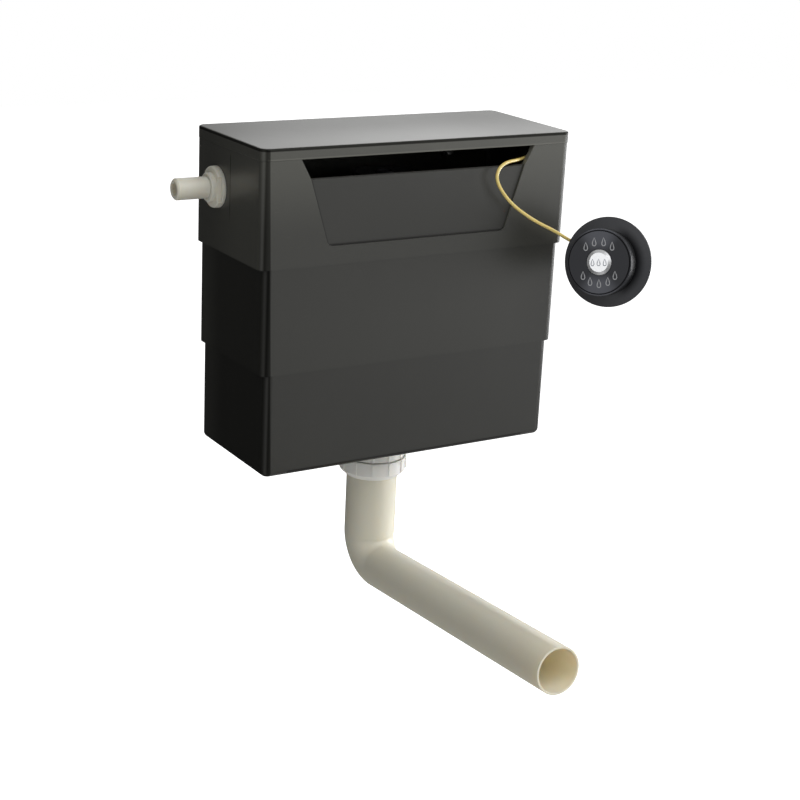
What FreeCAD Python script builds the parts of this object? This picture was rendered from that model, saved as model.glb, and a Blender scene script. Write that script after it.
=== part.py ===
import FreeCAD, Part
import math
import os
import re
import Sketcher

os.makedirs("parts", exist_ok=True)

Vector = FreeCAD.Vector
Rotation = FreeCAD.Rotation
Placement = FreeCAD.Placement

# Concealed cistern with side water inlet, bottom outlet, flush bend and remote air push button.
# The frame has +Z up and the front on -Y. The origin is midway between the two wall fixing holes,
# on the rear face. Heights in the sizes below are counted from the tank's underside.
# Lengths are in millimetres and angles in degrees.
SIZES = {
    # Tank of three tiers
    "tankWidth": 346.0,
    "tankDepth": 140.5,
    "tankHeight": 320.0,
    "tierHeight": 103.2,
    "tierStepSide": 4.4,
    "tierStepFront": 0.6,
    "wall": 3.0,
    "cornerRadius": 8.0,
    "bottomRadius": 6.0,
    # Recessed service panel and the slot above it
    "recessDepth": 2.0,
    "recessBottom": 224.7,
    "recessBottomHalf": 99.9,
    "recessCornerRadius": 7.0,
    "panelShift": -2.0,
    "slotBottom": 289.5,
    "slotBottomHalf": 120.5,
    "slotTopHalf": 131.0,
    "slotLipChamfer": 1.0,
    # Rim and lid
    "lidHeight": 11.5,
    "lidWall": 2.5,
    "lidEdgeRadius": 1.8,
    "lidOverhang": 0.5,
    "rimHeight": 8.0,
    "rimClearance": 0.5,
    "rimLedge": 6.0,
    # Wall fixing holes
    "fixingHeight": 280.0,
    "fixingSpacing": 230.0,
    "fixingHoleDiameter": 7.0,
    "fixingBossDiameter": 15.0,
    "fixingBoss": 8.0,
    # Water inlet in the left wall
    "inletHeight": 267.8,
    "inletFromRear": 46.0,
    "inletPadDepth": 0.6,
    "inletPadWidth": 74.4,
    "inletPadFoot": 228.0,
    "inletPadStart": 240.0,
    "tailDiameter": 20.955,
    "tailLength": 45.0,
    "tailChamfer": 1.8,
    "tailBore": 13.0,
    "tailRelief": 1.0,
    "tailReliefDepth": 0.6,
    "inletHoleClearance": 0.4,
    "inletWasher": 2.0,
    "washerInset": 0.5,
    "inletFlangeDiameter": 36.0,
    "inletFlange": 4.0,
    "valveBarrelDiameter": 24.0,
    "valveBarrelLength": 28.0,
    "valveHeadDiameter": 34.0,
    "valveHeadLength": 10.0,
    "valveSeatBore": 6.0,
    "spoutDiameter": 16.0,
    "spoutBore": 11.0,
    "spoutFromFlange": 14.0,
    "spoutLength": 24.0,
    "dropTubeWall": 1.5,
    "dropTubeFoot": 26.0,
    "slideFit": 0.05,
    # Wing nut outside the left wall
    "wingNutDiameter": 39.7,
    "wingNutThickness": 6.5,
    "wingNutFlangeDiameter": 40.0,
    "wingNutFlange": 2.5,
    "wingNutHubDiameter": 28.0,
    "wingNutLength": 11.5,
    "wingNotchHalf": 12.0,
    "wingEdgeRadius": 2.0,
    "wingNutChamfer": 1.0,
    "threadGap": 0.2,
    # Inlet filter, diaphragm and cap
    "filterLength": 22.0,
    "filterWall": 1.0,
    "filterFromEnd": 6.0,
    "filterSlot": 1.6,
    "filterSlots": 8,
    "diaphragm": 1.5,
    "capWall": 1.9,
    "capSkirt": 9.0,
    "capFloor": 3.5,
    "pilotNozzleDiameter": 6.0,
    "pilotNozzle": 4.0,
    "pilotBore": 1.2,
    "pilotTaper": 1.0,
    # Float arm, its pin, pad, screw and float
    "pivotDrop": 23.5,
    "pivotInset": 4.0,
    "pinDiameter": 3.0,
    "pinHeadDiameter": 5.2,
    "pinTail": 1.0,
    "pinHead": 1.0,
    "pinHoleGap": 0.08,
    "armThickness": 5.0,
    "armBeam": 6.0,
    "armLength": 50.0,
    "armLegOffset": 15.5,
    "armLeg": 3.0,
    "sideGap": 0.3,
    "lugThickness": 3.0,
    "lugLength": 8.0,
    "pilotPad": 2.0,
    "pilotPadDiameter": 6.0,
    "screwReach": 42.0,
    "screwDiameter": 4.0,
    "screwKnobDiameter": 9.0,
    "screwKnob": 4.0,
    "screwAbove": 11.0,
    "screwBelow": 15.0,
    "floatDiameter": 40.0,
    "floatHeight": 38.0,
    "floatWall": 1.5,
    "floatBoss": 7.0,
    "floatBossDiameter": 10.0,
    "floatDrop": 9.0,
    # Outlet through the floor
    "outletFromRear": 70.0,
    "outletTailDiameter": 59.6,
    "outletTailLength": 33.0,
    "outletHoleClearance": 0.5,
    "outletBore": 49.0,
    "socketDepth": 27.0,
    "socketGap": 0.6,
    "baseWasher": 3.0,
    "baseFlangeDiameter": 86.0,
    "baseFlange": 3.5,
    "seatHeight": 6.5,
    "seatWidth": 2.5,
    "cageSpigot": 3.5,
    "outletNutDiameter": 71.0,
    "outletNutLength": 20.0,
    "outletNutFlange": 5.0,
    "outletNutStep": 2.5,
    "gripWidth": 2.2,
    "gripHeight": 0.9,
    "gripCount": 12,
    # Ribbed coupling nut and seal on the flush bend
    "pipeNutDiameter": 69.0,
    "pipeNutTop": 21.0,
    "pipeNutLength": 20.0,
    "pipeNutChamfer": 6.0,
    "pipeNutLip": 5.0,
    "pipeSealGap": 0.2,
    # Flush bend
    "legDiameter": 53.0,
    "runDiameter": 46.0,
    "pipeWall": 2.0,
    "bendDrop": 140.3,
    "bendRadius": 30.0,
    "runLength": 351.0,
    "runRiseAngle": 4.9,
    "runYawAngle": -1.4,
    # Flush valve in the tank
    "cageDiameter": 72.0,
    "cageWall": 2.5,
    "cageShoulder": 70.0,
    "cageTaper": 8.0,
    "towerDiameter": 62.0,
    "towerTop": 236.0,
    "windowBottom": 15.0,
    "windowTop": 58.0,
    "windowWidth": 34.0,
    "upperWindowBottom": 95.0,
    "upperWindowTop": 205.0,
    "upperWindowWidth": 22.0,
    "windowCount": 4,
    "spindleDiameter": 18.0,
    "spindleWall": 2.0,
    "spindleAboveCap": 1.5,
    "spindleFootDiameter": 53.0,
    "spindleFoot": 3.0,
    "flushSealThickness": 3.0,
    "flushSealDiameter": 55.0,
    "sealGap": 0.3,
    "collarHeight": 117.0,
    "collar": 3.0,
    "collarDiameter": 25.0,
    "halfFloatDiameter": 44.0,
    "halfFloatHeight": 30.0,
    "clipHeight": 4.0,
    "clipDiameter": 27.0,
    "stackGap": 0.2,
    # Air actuator on the tower
    "actuatorFloor": 3.0,
    "actuatorWall": 2.5,
    "actuatorHeight": 37.0,
    "actuatorCap": 3.5,
    "actuatorCapSpigot": 1.0,
    "spindleHoleGap": 0.8,
    "pistonRise": 16.0,
    "piston": 3.0,
    "pistonDiameter": 50.0,
    "bellowsWall": 1.2,
    "bellowsFold": 3.0,
    "bellowsLip": 2.2,
    "bellowsFolds": 3,
    "bellowsGap": 1.0,
    "airNozzleDiameter": 5.2,
    "airNozzleLength": 12.0,
    "airNozzleRise": 9.0,
    # Air hose
    "hoseDiameter": 3.5,
    "hoseLastRun": 14.0,
    # Button set: place of its plate and the way it faces
    "buttonRight": 182.0,
    "buttonForward": 205.0,
    "buttonHeight": 200.0,
    "buttonFacingAngle": 56.5,
    "buttonTiltAngle": 10.7,
    "buttonRollAngle": 8.5,
    "plateDiameter": 90.0,
    "plateRim": 1.6,
    "plateCrown": 4.6,
    "plateRimRadius": 1.0,
    "collarTubeDiameter": 56.0,
    "collarTubeWall": 2.5,
    "collarTubeHeight": 17.0,
    "neckDiameter": 48.0,
    "neckWall": 2.5,
    "neckLength": 34.0,
    "gasket": 2.0,
    "gasketDiameter": 76.0,
    "panelThickness": 3.0,
    "panelNutDiameter": 66.0,
    "panelNutLength": 9.0,
    "panelNutGrip": 3.0,
    "buttonProud": 30.0,
    "capDiameter": 66.0,
    "capSide": 15.0,
    "capEdgeRadius": 0.7,
    "capSkirtWall": 2.5,
    "capShell": 3.0,
    "capFaceDiameter": 63.6,
    "capGroove": 0.9,
    "capGrooveDepth": 0.8,
    "plungerGap": 0.3,
    "plungerBelow": 6.0,
    "halfButtonDiameter": 25.0,
    "halfButtonGap": 0.5,
    "halfButtonProud": 1.0,
    "halfButtonEdge": 1.2,
    "halfButtonRim": 3.0,
    "halfButtonBody": 8.0,
    "halfStemDiameter": 10.0,
    "halfFloor": 6.0,
    "buttonCup": 44.0,
    "buttonCupWall": 2.4,
    "buttonCupFloor": 3.0,
    "buttonCupOverlap": 8.0,
    "springWire": 1.2,
    "springGap": 0.5,
    "fullSpringTurns": 6,
    "halfSpringTurns": 4,
    "halfSpringWire": 0.9,
    "halfSpringClear": 3.0,
    "buttonBellowsDiameter": 34.0,
    "buttonBellowsBore": 3.0,
    "buttonNozzleLength": 18.0,
    "buttonNozzleTurnAngle": 154.5,
    "buttonNozzleTiltAngle": 46.0,
    "buttonNozzleRise": 3.0,
}

doc = FreeCAD.newDocument("ConcealedCistern")
sheet = doc.addObject("Spreadsheet::Sheet", "Sizes")
for row, (name, number) in enumerate(SIZES.items(), start=1):
    sheet.set("A%d" % row, name)
    sheet.set("B%d" % row, str(number))
    sheet.setAlias("B%d" % row, name)
doc.recompute()

# Sizes that follow from the driving ones, each an expression on the same names
DERIVED = {
    "shoulder": "tankHeight - lidHeight",
    "upperHalf": "tankWidth / 2",
    "middleHalf": "upperHalf - tierStepSide",
    "lowerHalf": "middleHalf - tierStepSide",
    "middleFront": "tankDepth - tierStepFront",
    "lowerFront": "middleFront - tierStepFront",
    "rimInset": "lidWall + rimClearance",
    "upperFloor": "2 * tierHeight + wall",
    "middleFloor": "tierHeight + wall",
    "tailRadius": "tailDiameter / 2",
    "padWall": "wall - inletPadDepth",
    "flangeFace": "-(padWall + inletWasher)",
    "flangeBack": "flangeFace - inletFlange",
    "headStart": "flangeBack - valveBarrelLength",
    "headEnd": "headStart - valveHeadLength",
    "spoutAxis": "flangeBack - spoutFromFlange",
    "capSeat": "headEnd - diaphragm",
    "capEnd": "capSeat - capFloor",
    "capOuter": "valveHeadDiameter / 2 + slideFit + capWall",
    "pilotTip": "capEnd - pilotNozzle",
    "pivotAxis": "capEnd + pivotInset",
    "armHub": "pivotDrop - capOuter - sideGap",
    "lugInner": "armThickness / 2 + sideGap",
    "lugOuter": "lugInner + lugThickness",
    "outletTail": "outletTailDiameter / 2",
    "socketRadius": "legDiameter / 2 + socketGap",
    "baseUnder": "wall + baseWasher",
    "baseTop": "baseUnder + baseFlange",
    "seatTop": "baseTop + seatHeight",
    "cageInner": "cageDiameter / 2 - cageWall",
    "towerInner": "towerDiameter / 2 - cageWall",
    "pipeNutRadius": "pipeNutDiameter / 2",
    "pipeNutBottom": "-(pipeNutTop + pipeNutLength)",
    "spindleRadius": "spindleDiameter / 2",
    "footUnder": "seatTop + sealGap + flushSealThickness",
    "footTop": "footUnder + spindleFoot",
    "collarTop": "collarHeight + collar",
    "halfFloatBottom": "collarTop + stackGap",
    "halfFloatTop": "halfFloatBottom + halfFloatHeight",
    "actuatorBase": "towerTop + actuatorFloor",
    "actuatorTop": "towerTop + actuatorHeight",
    "actuatorInner": "towerDiameter / 2 - actuatorWall",
    "spindleTop": "actuatorTop + actuatorCap + spindleAboveCap",
    "pistonUnder": "actuatorBase + pistonRise",
    "plateRadius": "plateDiameter / 2",
    "collarTubeRadius": "collarTubeDiameter / 2",
    "neckRadius": "neckDiameter / 2",
    "neckBore": "neckRadius - neckWall",
    "panelBack": "-(gasket + panelThickness)",
    "buttonTop": "buttonProud",
    "capRadius": "capDiameter / 2",
    "plungerRadius": "neckBore - plungerGap",
    "halfBore": "halfButtonDiameter / 2 + halfButtonGap",
    "stemRadius": "halfStemDiameter / 2",
    "cupInner": "neckRadius + slideFit",
    "cupOuter": "cupInner + buttonCupWall",
    "cupFloorTop": "buttonCupFloor - buttonCup",
}


def bound(text):
    """The expression with every size name pointed at its cell in the sheet."""

    def cell(match):
        word = match.group()
        if word in DERIVED:
            return "(" + bound(DERIVED[word]) + ")"
        return "Sizes." + word if word in SIZES else word

    return re.sub(r"[A-Za-z]\w*", cell, str(text))


def value(text):
    """The number that an expression on the sizes gives."""
    return float(sheet.evalExpression(bound(text)))


def tie(feature, prop, text):
    """Set a property and bind it to the sheet."""
    setattr(feature, prop, value(text))
    feature.setExpression(prop, bound(text))


# Frames: where each group of pieces has its own zero
tank_frame = Placement(Vector(0, 0, -value("fixingHeight")), Rotation())
outlet_frame = Placement(Vector(0, -value("outletFromRear"), -value("fixingHeight")), Rotation())
# Inlet frame: local Z points out of the left wall, local X points up
inlet_frame = Placement(
    Vector(
        -value("upperHalf - inletPadDepth"),
        -value("inletFromRear"),
        value("inletHeight - fixingHeight"),
    ),
    Rotation(Vector(0, 0, 1), Vector(0, 1, 0), Vector(-1, 0, 0), "ZYX"),
)
pivot_frame = Placement(
    inlet_frame.multVec(Vector(-value("pivotDrop"), 0, value("pivotAxis"))), Rotation()
)
spout_frame = Placement(
    inlet_frame.multVec(Vector(0, 0, value("spoutAxis"))), Rotation()
)
# Button frame: local Z is the way the button faces, local Y is its upright
button_frame = Placement(
    Vector(
        value("buttonRight"),
        -value("buttonForward"),
        value("buttonHeight - fixingHeight"),
    ),
    Rotation(Vector(0, 0, 1), -value("buttonFacingAngle"))
    * Rotation(Vector(1, 0, 0), 90.0 - value("buttonTiltAngle"))
    * Rotation(Vector(0, 0, 1), value("buttonRollAngle")),
)

pieces = []


def new_body(label, frame):
    """An empty body in one of the frames, listed for export."""
    body = doc.addObject("PartDesign::Body", label)
    body.Label = label
    body.Placement = frame
    pieces.append(body)
    return body


def new_sketch(body, name, plane, offset="0"):
    """A sketch on one of the body's own origin planes, moved along its normal."""
    sketch = body.newObject("Sketcher::SketchObject", name)
    support = next(f for f in body.Origin.OriginFeatures if f.Role == plane)
    sketch.AttachmentSupport = (support, [""])
    sketch.MapMode = "FlatFace"
    sketch.AttachmentOffset = Placement(Vector(0, 0, value(offset)), Rotation())
    sketch.setExpression(".AttachmentOffset.Base.z", bound(offset))
    return sketch


def place_point(sketch, geometry, point, across, along):
    """Fix one point of the sketch at two expressions from its origin."""
    for kind, text in (("DistanceX", across), ("DistanceY", along)):
        number = sketch.addConstraint(
            Sketcher.Constraint(kind, -1, 1, geometry, point, value(text))
        )
        sketch.setExpression("Constraints[%d]" % number, bound(text))


def outline(body, name, plane, points, offset="0"):
    """A closed outline of straight sides through points given as expressions."""
    sketch = new_sketch(body, name, plane, offset)
    corners = [Vector(value(across), value(along), 0) for across, along in points]
    count = len(points)
    for index in range(count):
        side = Part.LineSegment(corners[index], corners[(index + 1) % count])
        sketch.addGeometry(side, False)
    for index in range(count):
        following = (index + 1) % count
        sketch.addConstraint(Sketcher.Constraint("Coincident", index, 2, following, 1))
    for index, (across, along) in enumerate(points):
        place_point(sketch, index, 1, across, along)
    return sketch


def circles(body, name, plane, rings, offset="0"):
    """Circles given as centre and radius expressions."""
    sketch = new_sketch(body, name, plane, offset)
    for index, (across, along, radius) in enumerate(rings):
        centre = Vector(value(across), value(along), 0)
        sketch.addGeometry(Part.Circle(centre, Vector(0, 0, 1), value(radius)), False)
        place_point(sketch, index, 3, across, along)
        number = sketch.addConstraint(Sketcher.Constraint("Radius", index, value(radius)))
        sketch.setExpression("Constraints[%d]" % number, bound(radius))
    return sketch


def rounded_rectangle(body, name, half, front, rear, radius, offset="0"):
    """A plan outline from the rear line to the front line with four round corners."""
    sketch = new_sketch(body, name, "XY_Plane", offset)
    across, corner = value(half), value(radius)
    low, high = -value(front), -value(rear)
    sides = [
        ((-across + corner, low), (across - corner, low)),
        ((across, low + corner), (across, high - corner)),
        ((across - corner, high), (-across + corner, high)),
        ((-across, high - corner), (-across, low + corner)),
    ]
    centres = [
        (across - corner, low + corner),
        (across - corner, high - corner),
        (-across + corner, high - corner),
        (-across + corner, low + corner),
    ]
    quarter = math.pi / 2
    for index, ((start, end), (x, y)) in enumerate(zip(sides, centres)):
        sketch.addGeometry(Part.LineSegment(Vector(*start, 0), Vector(*end, 0)), False)
        ring = Part.Circle(Vector(x, y, 0), Vector(0, 0, 1), corner)
        turn = quarter * (index - 1)
        sketch.addGeometry(Part.ArcOfCircle(ring, turn, turn + quarter), False)
    for index in range(8):
        following = (index + 1) % 8
        sketch.addConstraint(Sketcher.Constraint("Tangent", index, 2, following, 1))
    for index, kind in ((0, "Horizontal"), (2, "Vertical"), (4, "Horizontal"), (6, "Vertical")):
        sketch.addConstraint(Sketcher.Constraint(kind, index))
    for index in (3, 5, 7):
        sketch.addConstraint(Sketcher.Constraint("Equal", 1, index))
    number = sketch.addConstraint(Sketcher.Constraint("Radius", 1, corner))
    sketch.setExpression("Constraints[%d]" % number, bound(radius))
    limits = (
        ("DistanceY", 0, "-(%s)" % front),
        ("DistanceX", 2, half),
        ("DistanceY", 4, "-(%s)" % rear),
        ("DistanceX", 6, "-(%s)" % half),
    )
    for kind, index, text in limits:
        number = sketch.addConstraint(Sketcher.Constraint(kind, -1, 1, index, 1, value(text)))
        sketch.setExpression("Constraints[%d]" % number, bound(text))
    return sketch


def extrude(body, kind, name, sketch, length, flip=False, both_ways=False):
    """A pad or a pocket of a bound length."""
    feature = body.newObject("PartDesign::" + kind, name)
    feature.Profile = sketch
    tie(feature, "Length", length)
    feature.Reversed = flip
    if both_ways:
        feature.SideType = "Symmetric"
    return feature


def turned(body, name, points, kind="Revolution"):
    """A full turn about local Z of an outline in radius and height."""
    sketch = outline(body, name + "Outline", "XZ_Plane", points)
    feature = body.newObject("PartDesign::" + kind, name)
    feature.Profile = sketch
    feature.ReferenceAxis = (sketch, ["V_Axis"])
    feature.Angle = 360.0
    return feature


def ring_of(body, name, feature, count):
    """The feature repeated evenly about local Z."""
    pattern = body.newObject("PartDesign::PolarPattern", name)
    pattern.Originals = [feature]
    axis = next(f for f in body.Origin.OriginFeatures if f.Role == "Z_Axis")
    pattern.Axis = (axis, [""])
    pattern.Angle = 360.0
    pattern.Occurrences = int(value(count))
    body.Tip = pattern
    return pattern


def soften(body, kind, name, base, size, chosen):
    """A fillet or chamfer on the edges of the base feature that pass the test."""
    doc.recompute()
    edges = ["Edge%d" % n for n, edge in enumerate(base.Shape.Edges, start=1) if chosen(edge)]
    feature = body.newObject("PartDesign::" + kind, name)
    feature.Base = (base, edges)
    tie(feature, "Radius" if kind == "Fillet" else "Size", size)
    return feature


def lies_at(edge, height):
    """Whether the whole edge lies at one height."""
    box = edge.BoundBox
    return abs(box.ZMin - height) < 0.01 and abs(box.ZMax - height) < 0.01


# Tank
def make_tank():
    body = new_body("cistern_tank", tank_frame)
    sketch = rounded_rectangle(body, "LowerPlan", "lowerHalf", "lowerFront", "0", "cornerRadius")
    lower = extrude(body, "Pad", "LowerTier", sketch, "tierHeight")
    soften(body, "Fillet", "BottomEdge", lower, "bottomRadius", lambda edge: lies_at(edge, 0))
    tiers = (
        ("Middle", "middleHalf", "middleFront", "tierHeight", "tierHeight"),
        ("Upper", "upperHalf", "tankDepth", "2 * tierHeight", "shoulder - 2 * tierHeight"),
    )
    for name, half, front, base, height in tiers:
        sketch = rounded_rectangle(body, name + "Plan", half, front, "0", "cornerRadius", base)
        extrude(body, "Pad", name + "Tier", sketch, height)
    sketch = rounded_rectangle(
        body, "RimPlan", "upperHalf - rimInset", "tankDepth - rimInset", "rimInset",
        "cornerRadius - rimInset", "shoulder",
    )
    extrude(body, "Pad", "Rim", sketch, "rimHeight")
    inside = "cornerRadius - wall"
    cavities = (
        ("RimBore", "upperHalf - rimInset - wall", "tankDepth - rimInset - wall",
         "rimInset + wall", "cornerRadius - rimInset - wall",
         "shoulder + rimHeight", "rimHeight + rimLedge"),
        ("UpperBore", "upperHalf - wall", "tankDepth - recessDepth - wall", "wall", inside,
         "shoulder - rimLedge", "shoulder - rimLedge - upperFloor"),
        ("MiddleBore", "middleHalf - wall", "middleFront - wall", "wall", inside,
         "upperFloor", "upperFloor - middleFloor"),
        ("LowerBore", "lowerHalf - wall", "lowerFront - wall", "wall", inside,
         "middleFloor", "middleFloor - wall"),
    )
    for name, half, front, rear, radius, top, depth in cavities:
        sketch = rounded_rectangle(body, name + "Plan", half, front, rear, radius, top)
        bore = extrude(body, "Pocket", name, sketch, depth)
    floor_height = value("wall")
    inner = value("lowerFront - wall") + 0.01

    def on_floor(edge):
        box = edge.BoundBox
        return lies_at(edge, floor_height) and box.YMin > -inner

    soften(body, "Fillet", "FloorEdge", bore, "bottomRadius - wall", on_floor)
    # Service panel: a shallow recess, and the slot between its top edge and the lid
    foot = [("panelShift - recessBottomHalf", "recessBottom"),
            ("panelShift + recessBottomHalf", "recessBottom")]
    right = [("panelShift + slotBottomHalf", "slotBottom"), ("panelShift + slotTopHalf", "shoulder")]
    left = [("panelShift - slotTopHalf", "shoulder"), ("panelShift - slotBottomHalf", "slotBottom")]
    sketch = outline(body, "RecessOutline", "XZ_Plane", foot + right + left,
                     "tankDepth - recessDepth")
    recess = extrude(body, "Pocket", "Recess", sketch, "recessDepth + wall", flip=True)
    middle, half, corner_z = value("panelShift"), value("recessBottomHalf"), value("recessBottom")

    def at_recess_corner(edge):
        box = edge.BoundBox
        here = abs(abs(box.XMax - middle) - half) < 0.01 and abs(box.XMax - box.XMin) < 0.01
        return here and abs(box.ZMax - corner_z) < 0.01 and abs(box.ZMin - corner_z) < 0.01

    soften(body, "Fillet", "RecessCorners", recess, "recessCornerRadius", at_recess_corner)
    sketch = outline(body, "SlotOutline", "XZ_Plane", left[1:] + right + left[:1],
                     "tankDepth - 4 * wall")
    extrude(body, "Pocket", "Slot", sketch, "5 * wall", flip=True)
    sketch = outline(body, "PanelTopOutline", "YZ_Plane", [
        ("recessDepth - tankDepth", "slotBottom - slotLipChamfer"),
        ("recessDepth - tankDepth + slotLipChamfer", "slotBottom"),
        ("recessDepth - tankDepth", "slotBottom + slotLipChamfer"),
        ("recessDepth - tankDepth - slotLipChamfer", "slotBottom"),
    ], "panelShift")
    extrude(body, "Pocket", "PanelTopEdge", sketch, "2 * (slotBottomHalf - slotLipChamfer)",
            both_ways=True)
    # Shallow pad that the inlet seats on, fading out below
    sketch = outline(body, "InletPadOutline", "XZ_Plane", [
        ("-upperHalf", "inletPadFoot"), ("inletPadDepth - upperHalf", "inletPadStart"),
        ("inletPadDepth - upperHalf", "shoulder"), ("-upperHalf - wall", "shoulder"),
        ("-upperHalf - wall", "inletPadFoot"),
    ])
    extrude(body, "Pocket", "InletPad", sketch, "inletPadWidth", flip=True)
    sketch = circles(body, "InletHoleOutline", "YZ_Plane",
                     [("-inletFromRear", "inletHeight", "tailRadius + inletHoleClearance")],
                     "-upperHalf - wall")
    extrude(body, "Pocket", "InletHole", sketch, "3 * wall", flip=True)
    sketch = circles(body, "OutletHoleOutline", "XY_Plane",
                     [("0", "-outletFromRear", "outletTail + outletHoleClearance")])
    extrude(body, "Pocket", "OutletHole", sketch, "2 * wall", flip=True)
    # Bosses behind the wall fixing holes
    sketch = circles(body, "FixingBossOutline", "XZ_Plane", [
        ("-fixingSpacing / 2", "fixingHeight", "fixingBossDiameter / 2"),
        ("fixingSpacing / 2", "fixingHeight", "fixingBossDiameter / 2"),
    ], "wall / 2")
    extrude(body, "Pad", "FixingBosses", sketch, "wall / 2 + fixingBoss")
    sketch = circles(body, "FixingHolesOutline", "XZ_Plane", [
        ("-fixingSpacing / 2", "fixingHeight", "fixingHoleDiameter / 2"),
        ("fixingSpacing / 2", "fixingHeight", "fixingHoleDiameter / 2"),
    ])
    extrude(body, "Pocket", "FixingHoles", sketch, "2 * wall + fixingBoss", flip=True)


def make_lid():
    body = new_body("cistern_lid", tank_frame)
    sketch = rounded_rectangle(body, "LidPlan", "upperHalf + lidOverhang",
                               "tankDepth + lidOverhang", "0", "cornerRadius + lidOverhang",
                               "shoulder")
    block = extrude(body, "Pad", "LidBlock", sketch, "lidHeight")
    top = value("tankHeight")
    soften(body, "Fillet", "LidEdge", block, "lidEdgeRadius", lambda edge: lies_at(edge, top))
    sketch = rounded_rectangle(body, "LidInside", "upperHalf - lidWall", "tankDepth - lidWall",
                               "lidWall", "cornerRadius - lidWall", "shoulder")
    extrude(body, "Pocket", "LidHollow", sketch, "lidHeight - lidWall", flip=True)


# Water inlet
def make_inlet_valve_body():
    body = new_body("inlet_valve_body", inlet_frame)
    turned(body, "Barrel", [
        ("tailBore / 2", "tailLength"),
        ("tailRadius - tailChamfer", "tailLength"),
        ("tailRadius", "tailLength - tailChamfer"),
        ("tailRadius", "wingNutLength + tailRelief"),
        ("tailRadius - tailReliefDepth", "wingNutLength + tailRelief"),
        ("tailRadius - tailReliefDepth", "wingNutLength"),
        ("tailRadius", "wingNutLength"),
        ("tailRadius", "flangeFace"),
        ("inletFlangeDiameter / 2", "flangeFace"),
        ("inletFlangeDiameter / 2", "flangeBack"),
        ("valveBarrelDiameter / 2", "flangeBack"),
        ("valveBarrelDiameter / 2", "headStart"),
        ("valveHeadDiameter / 2", "headStart"),
        ("valveHeadDiameter / 2", "headEnd"),
        ("valveSeatBore / 2", "headEnd"),
        ("valveSeatBore / 2", "flangeBack"),
        ("tailBore / 2", "flangeBack"),
    ])
    sketch = circles(body, "SpoutOutline", "YZ_Plane", [("0", "spoutAxis", "spoutDiameter / 2")],
                     "-valveSeatBore / 2")
    extrude(body, "Pad", "Spout", sketch, "spoutLength - valveSeatBore / 2", flip=True)
    sketch = circles(body, "SpoutBoreOutline", "YZ_Plane", [("0", "spoutAxis", "spoutBore / 2")])
    extrude(body, "Pocket", "SpoutBore", sketch, "spoutLength + wall")


def plain_ring(label, frame, inner, outer, low, high):
    """A flat washer, sleeve or seal."""
    body = new_body(label, frame)
    turned(body, "Ring", [(inner, low), (outer, low), (outer, high), (inner, high)])
    return body


def make_inlet_backnut():
    body = new_body("inlet_backnut", inlet_frame)
    turned(body, "Hub", [
        ("tailRadius + threadGap", "0"),
        ("wingNutFlangeDiameter / 2", "0"),
        ("wingNutFlangeDiameter / 2", "wingNutFlange"),
        ("wingNutHubDiameter / 2", "wingNutFlange"),
        ("wingNutHubDiameter / 2", "wingNutLength - wingNutChamfer"),
        ("wingNutHubDiameter / 2 - wingNutChamfer", "wingNutLength"),
        ("tailRadius + threadGap", "wingNutLength"),
    ])
    sketch = circles(body, "WingOutline", "XY_Plane", [
        ("0", "0", "wingNutDiameter / 2"),
        ("0", "0", "wingNutHubDiameter / 2 - wingNutChamfer"),
    ], "wingNutFlange")
    wings = extrude(body, "Pad", "Wings", sketch, "wingNutThickness - wingNutFlange")
    level, reach = value("wingNutThickness"), value("wingNutDiameter / 2")
    soften(body, "Fillet", "WingEdge", wings, "wingEdgeRadius",
           lambda edge: lies_at(edge, level) and edge.BoundBox.XMax > reach - 0.01)
    # Finger notches on both sides between the wings
    for name, near, far in (
        ("NotchRear", "wingNutHubDiameter / 2", "wingNutDiameter"),
        ("NotchFront", "-wingNutHubDiameter / 2", "-wingNutDiameter"),
    ):
        sketch = outline(body, name + "Outline", "XY_Plane", [
            ("-wingNotchHalf", near), ("wingNotchHalf", near),
            ("wingNotchHalf", far), ("-wingNotchHalf", far),
        ], "wingNutFlange")
        extrude(body, "Pocket", name, sketch, "wingNutLength", flip=True)


def make_inlet_filter():
    body = new_body("inlet_filter", inlet_frame)
    outer = "tailBore / 2 - slideFit"
    inner = "tailBore / 2 - slideFit - filterWall"
    top = "tailLength - filterFromEnd"
    turned(body, "Thimble", [
        ("0", "tailLength - filterFromEnd - filterLength"),
        (outer, "tailLength - filterFromEnd - filterLength"),
        (outer, top),
        (inner, top),
        (inner, "tailLength - filterFromEnd - filterLength + filterWall"),
        ("0", "tailLength - filterFromEnd - filterLength + filterWall"),
    ])
    sketch = outline(body, "SlitOutline", "XZ_Plane", [
        ("-filterSlot / 2", "tailLength - filterFromEnd - filterLength + 2 * filterWall"),
        ("filterSlot / 2", "tailLength - filterFromEnd - filterLength + 2 * filterWall"),
        ("filterSlot / 2", "tailLength - filterFromEnd - 3 * filterWall"),
        ("-filterSlot / 2", "tailLength - filterFromEnd - 3 * filterWall"),
    ])
    slit = extrude(body, "Pocket", "Slit", sketch, "tailBore", flip=True)
    ring_of(body, "Slits", slit, "filterSlots")


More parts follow.
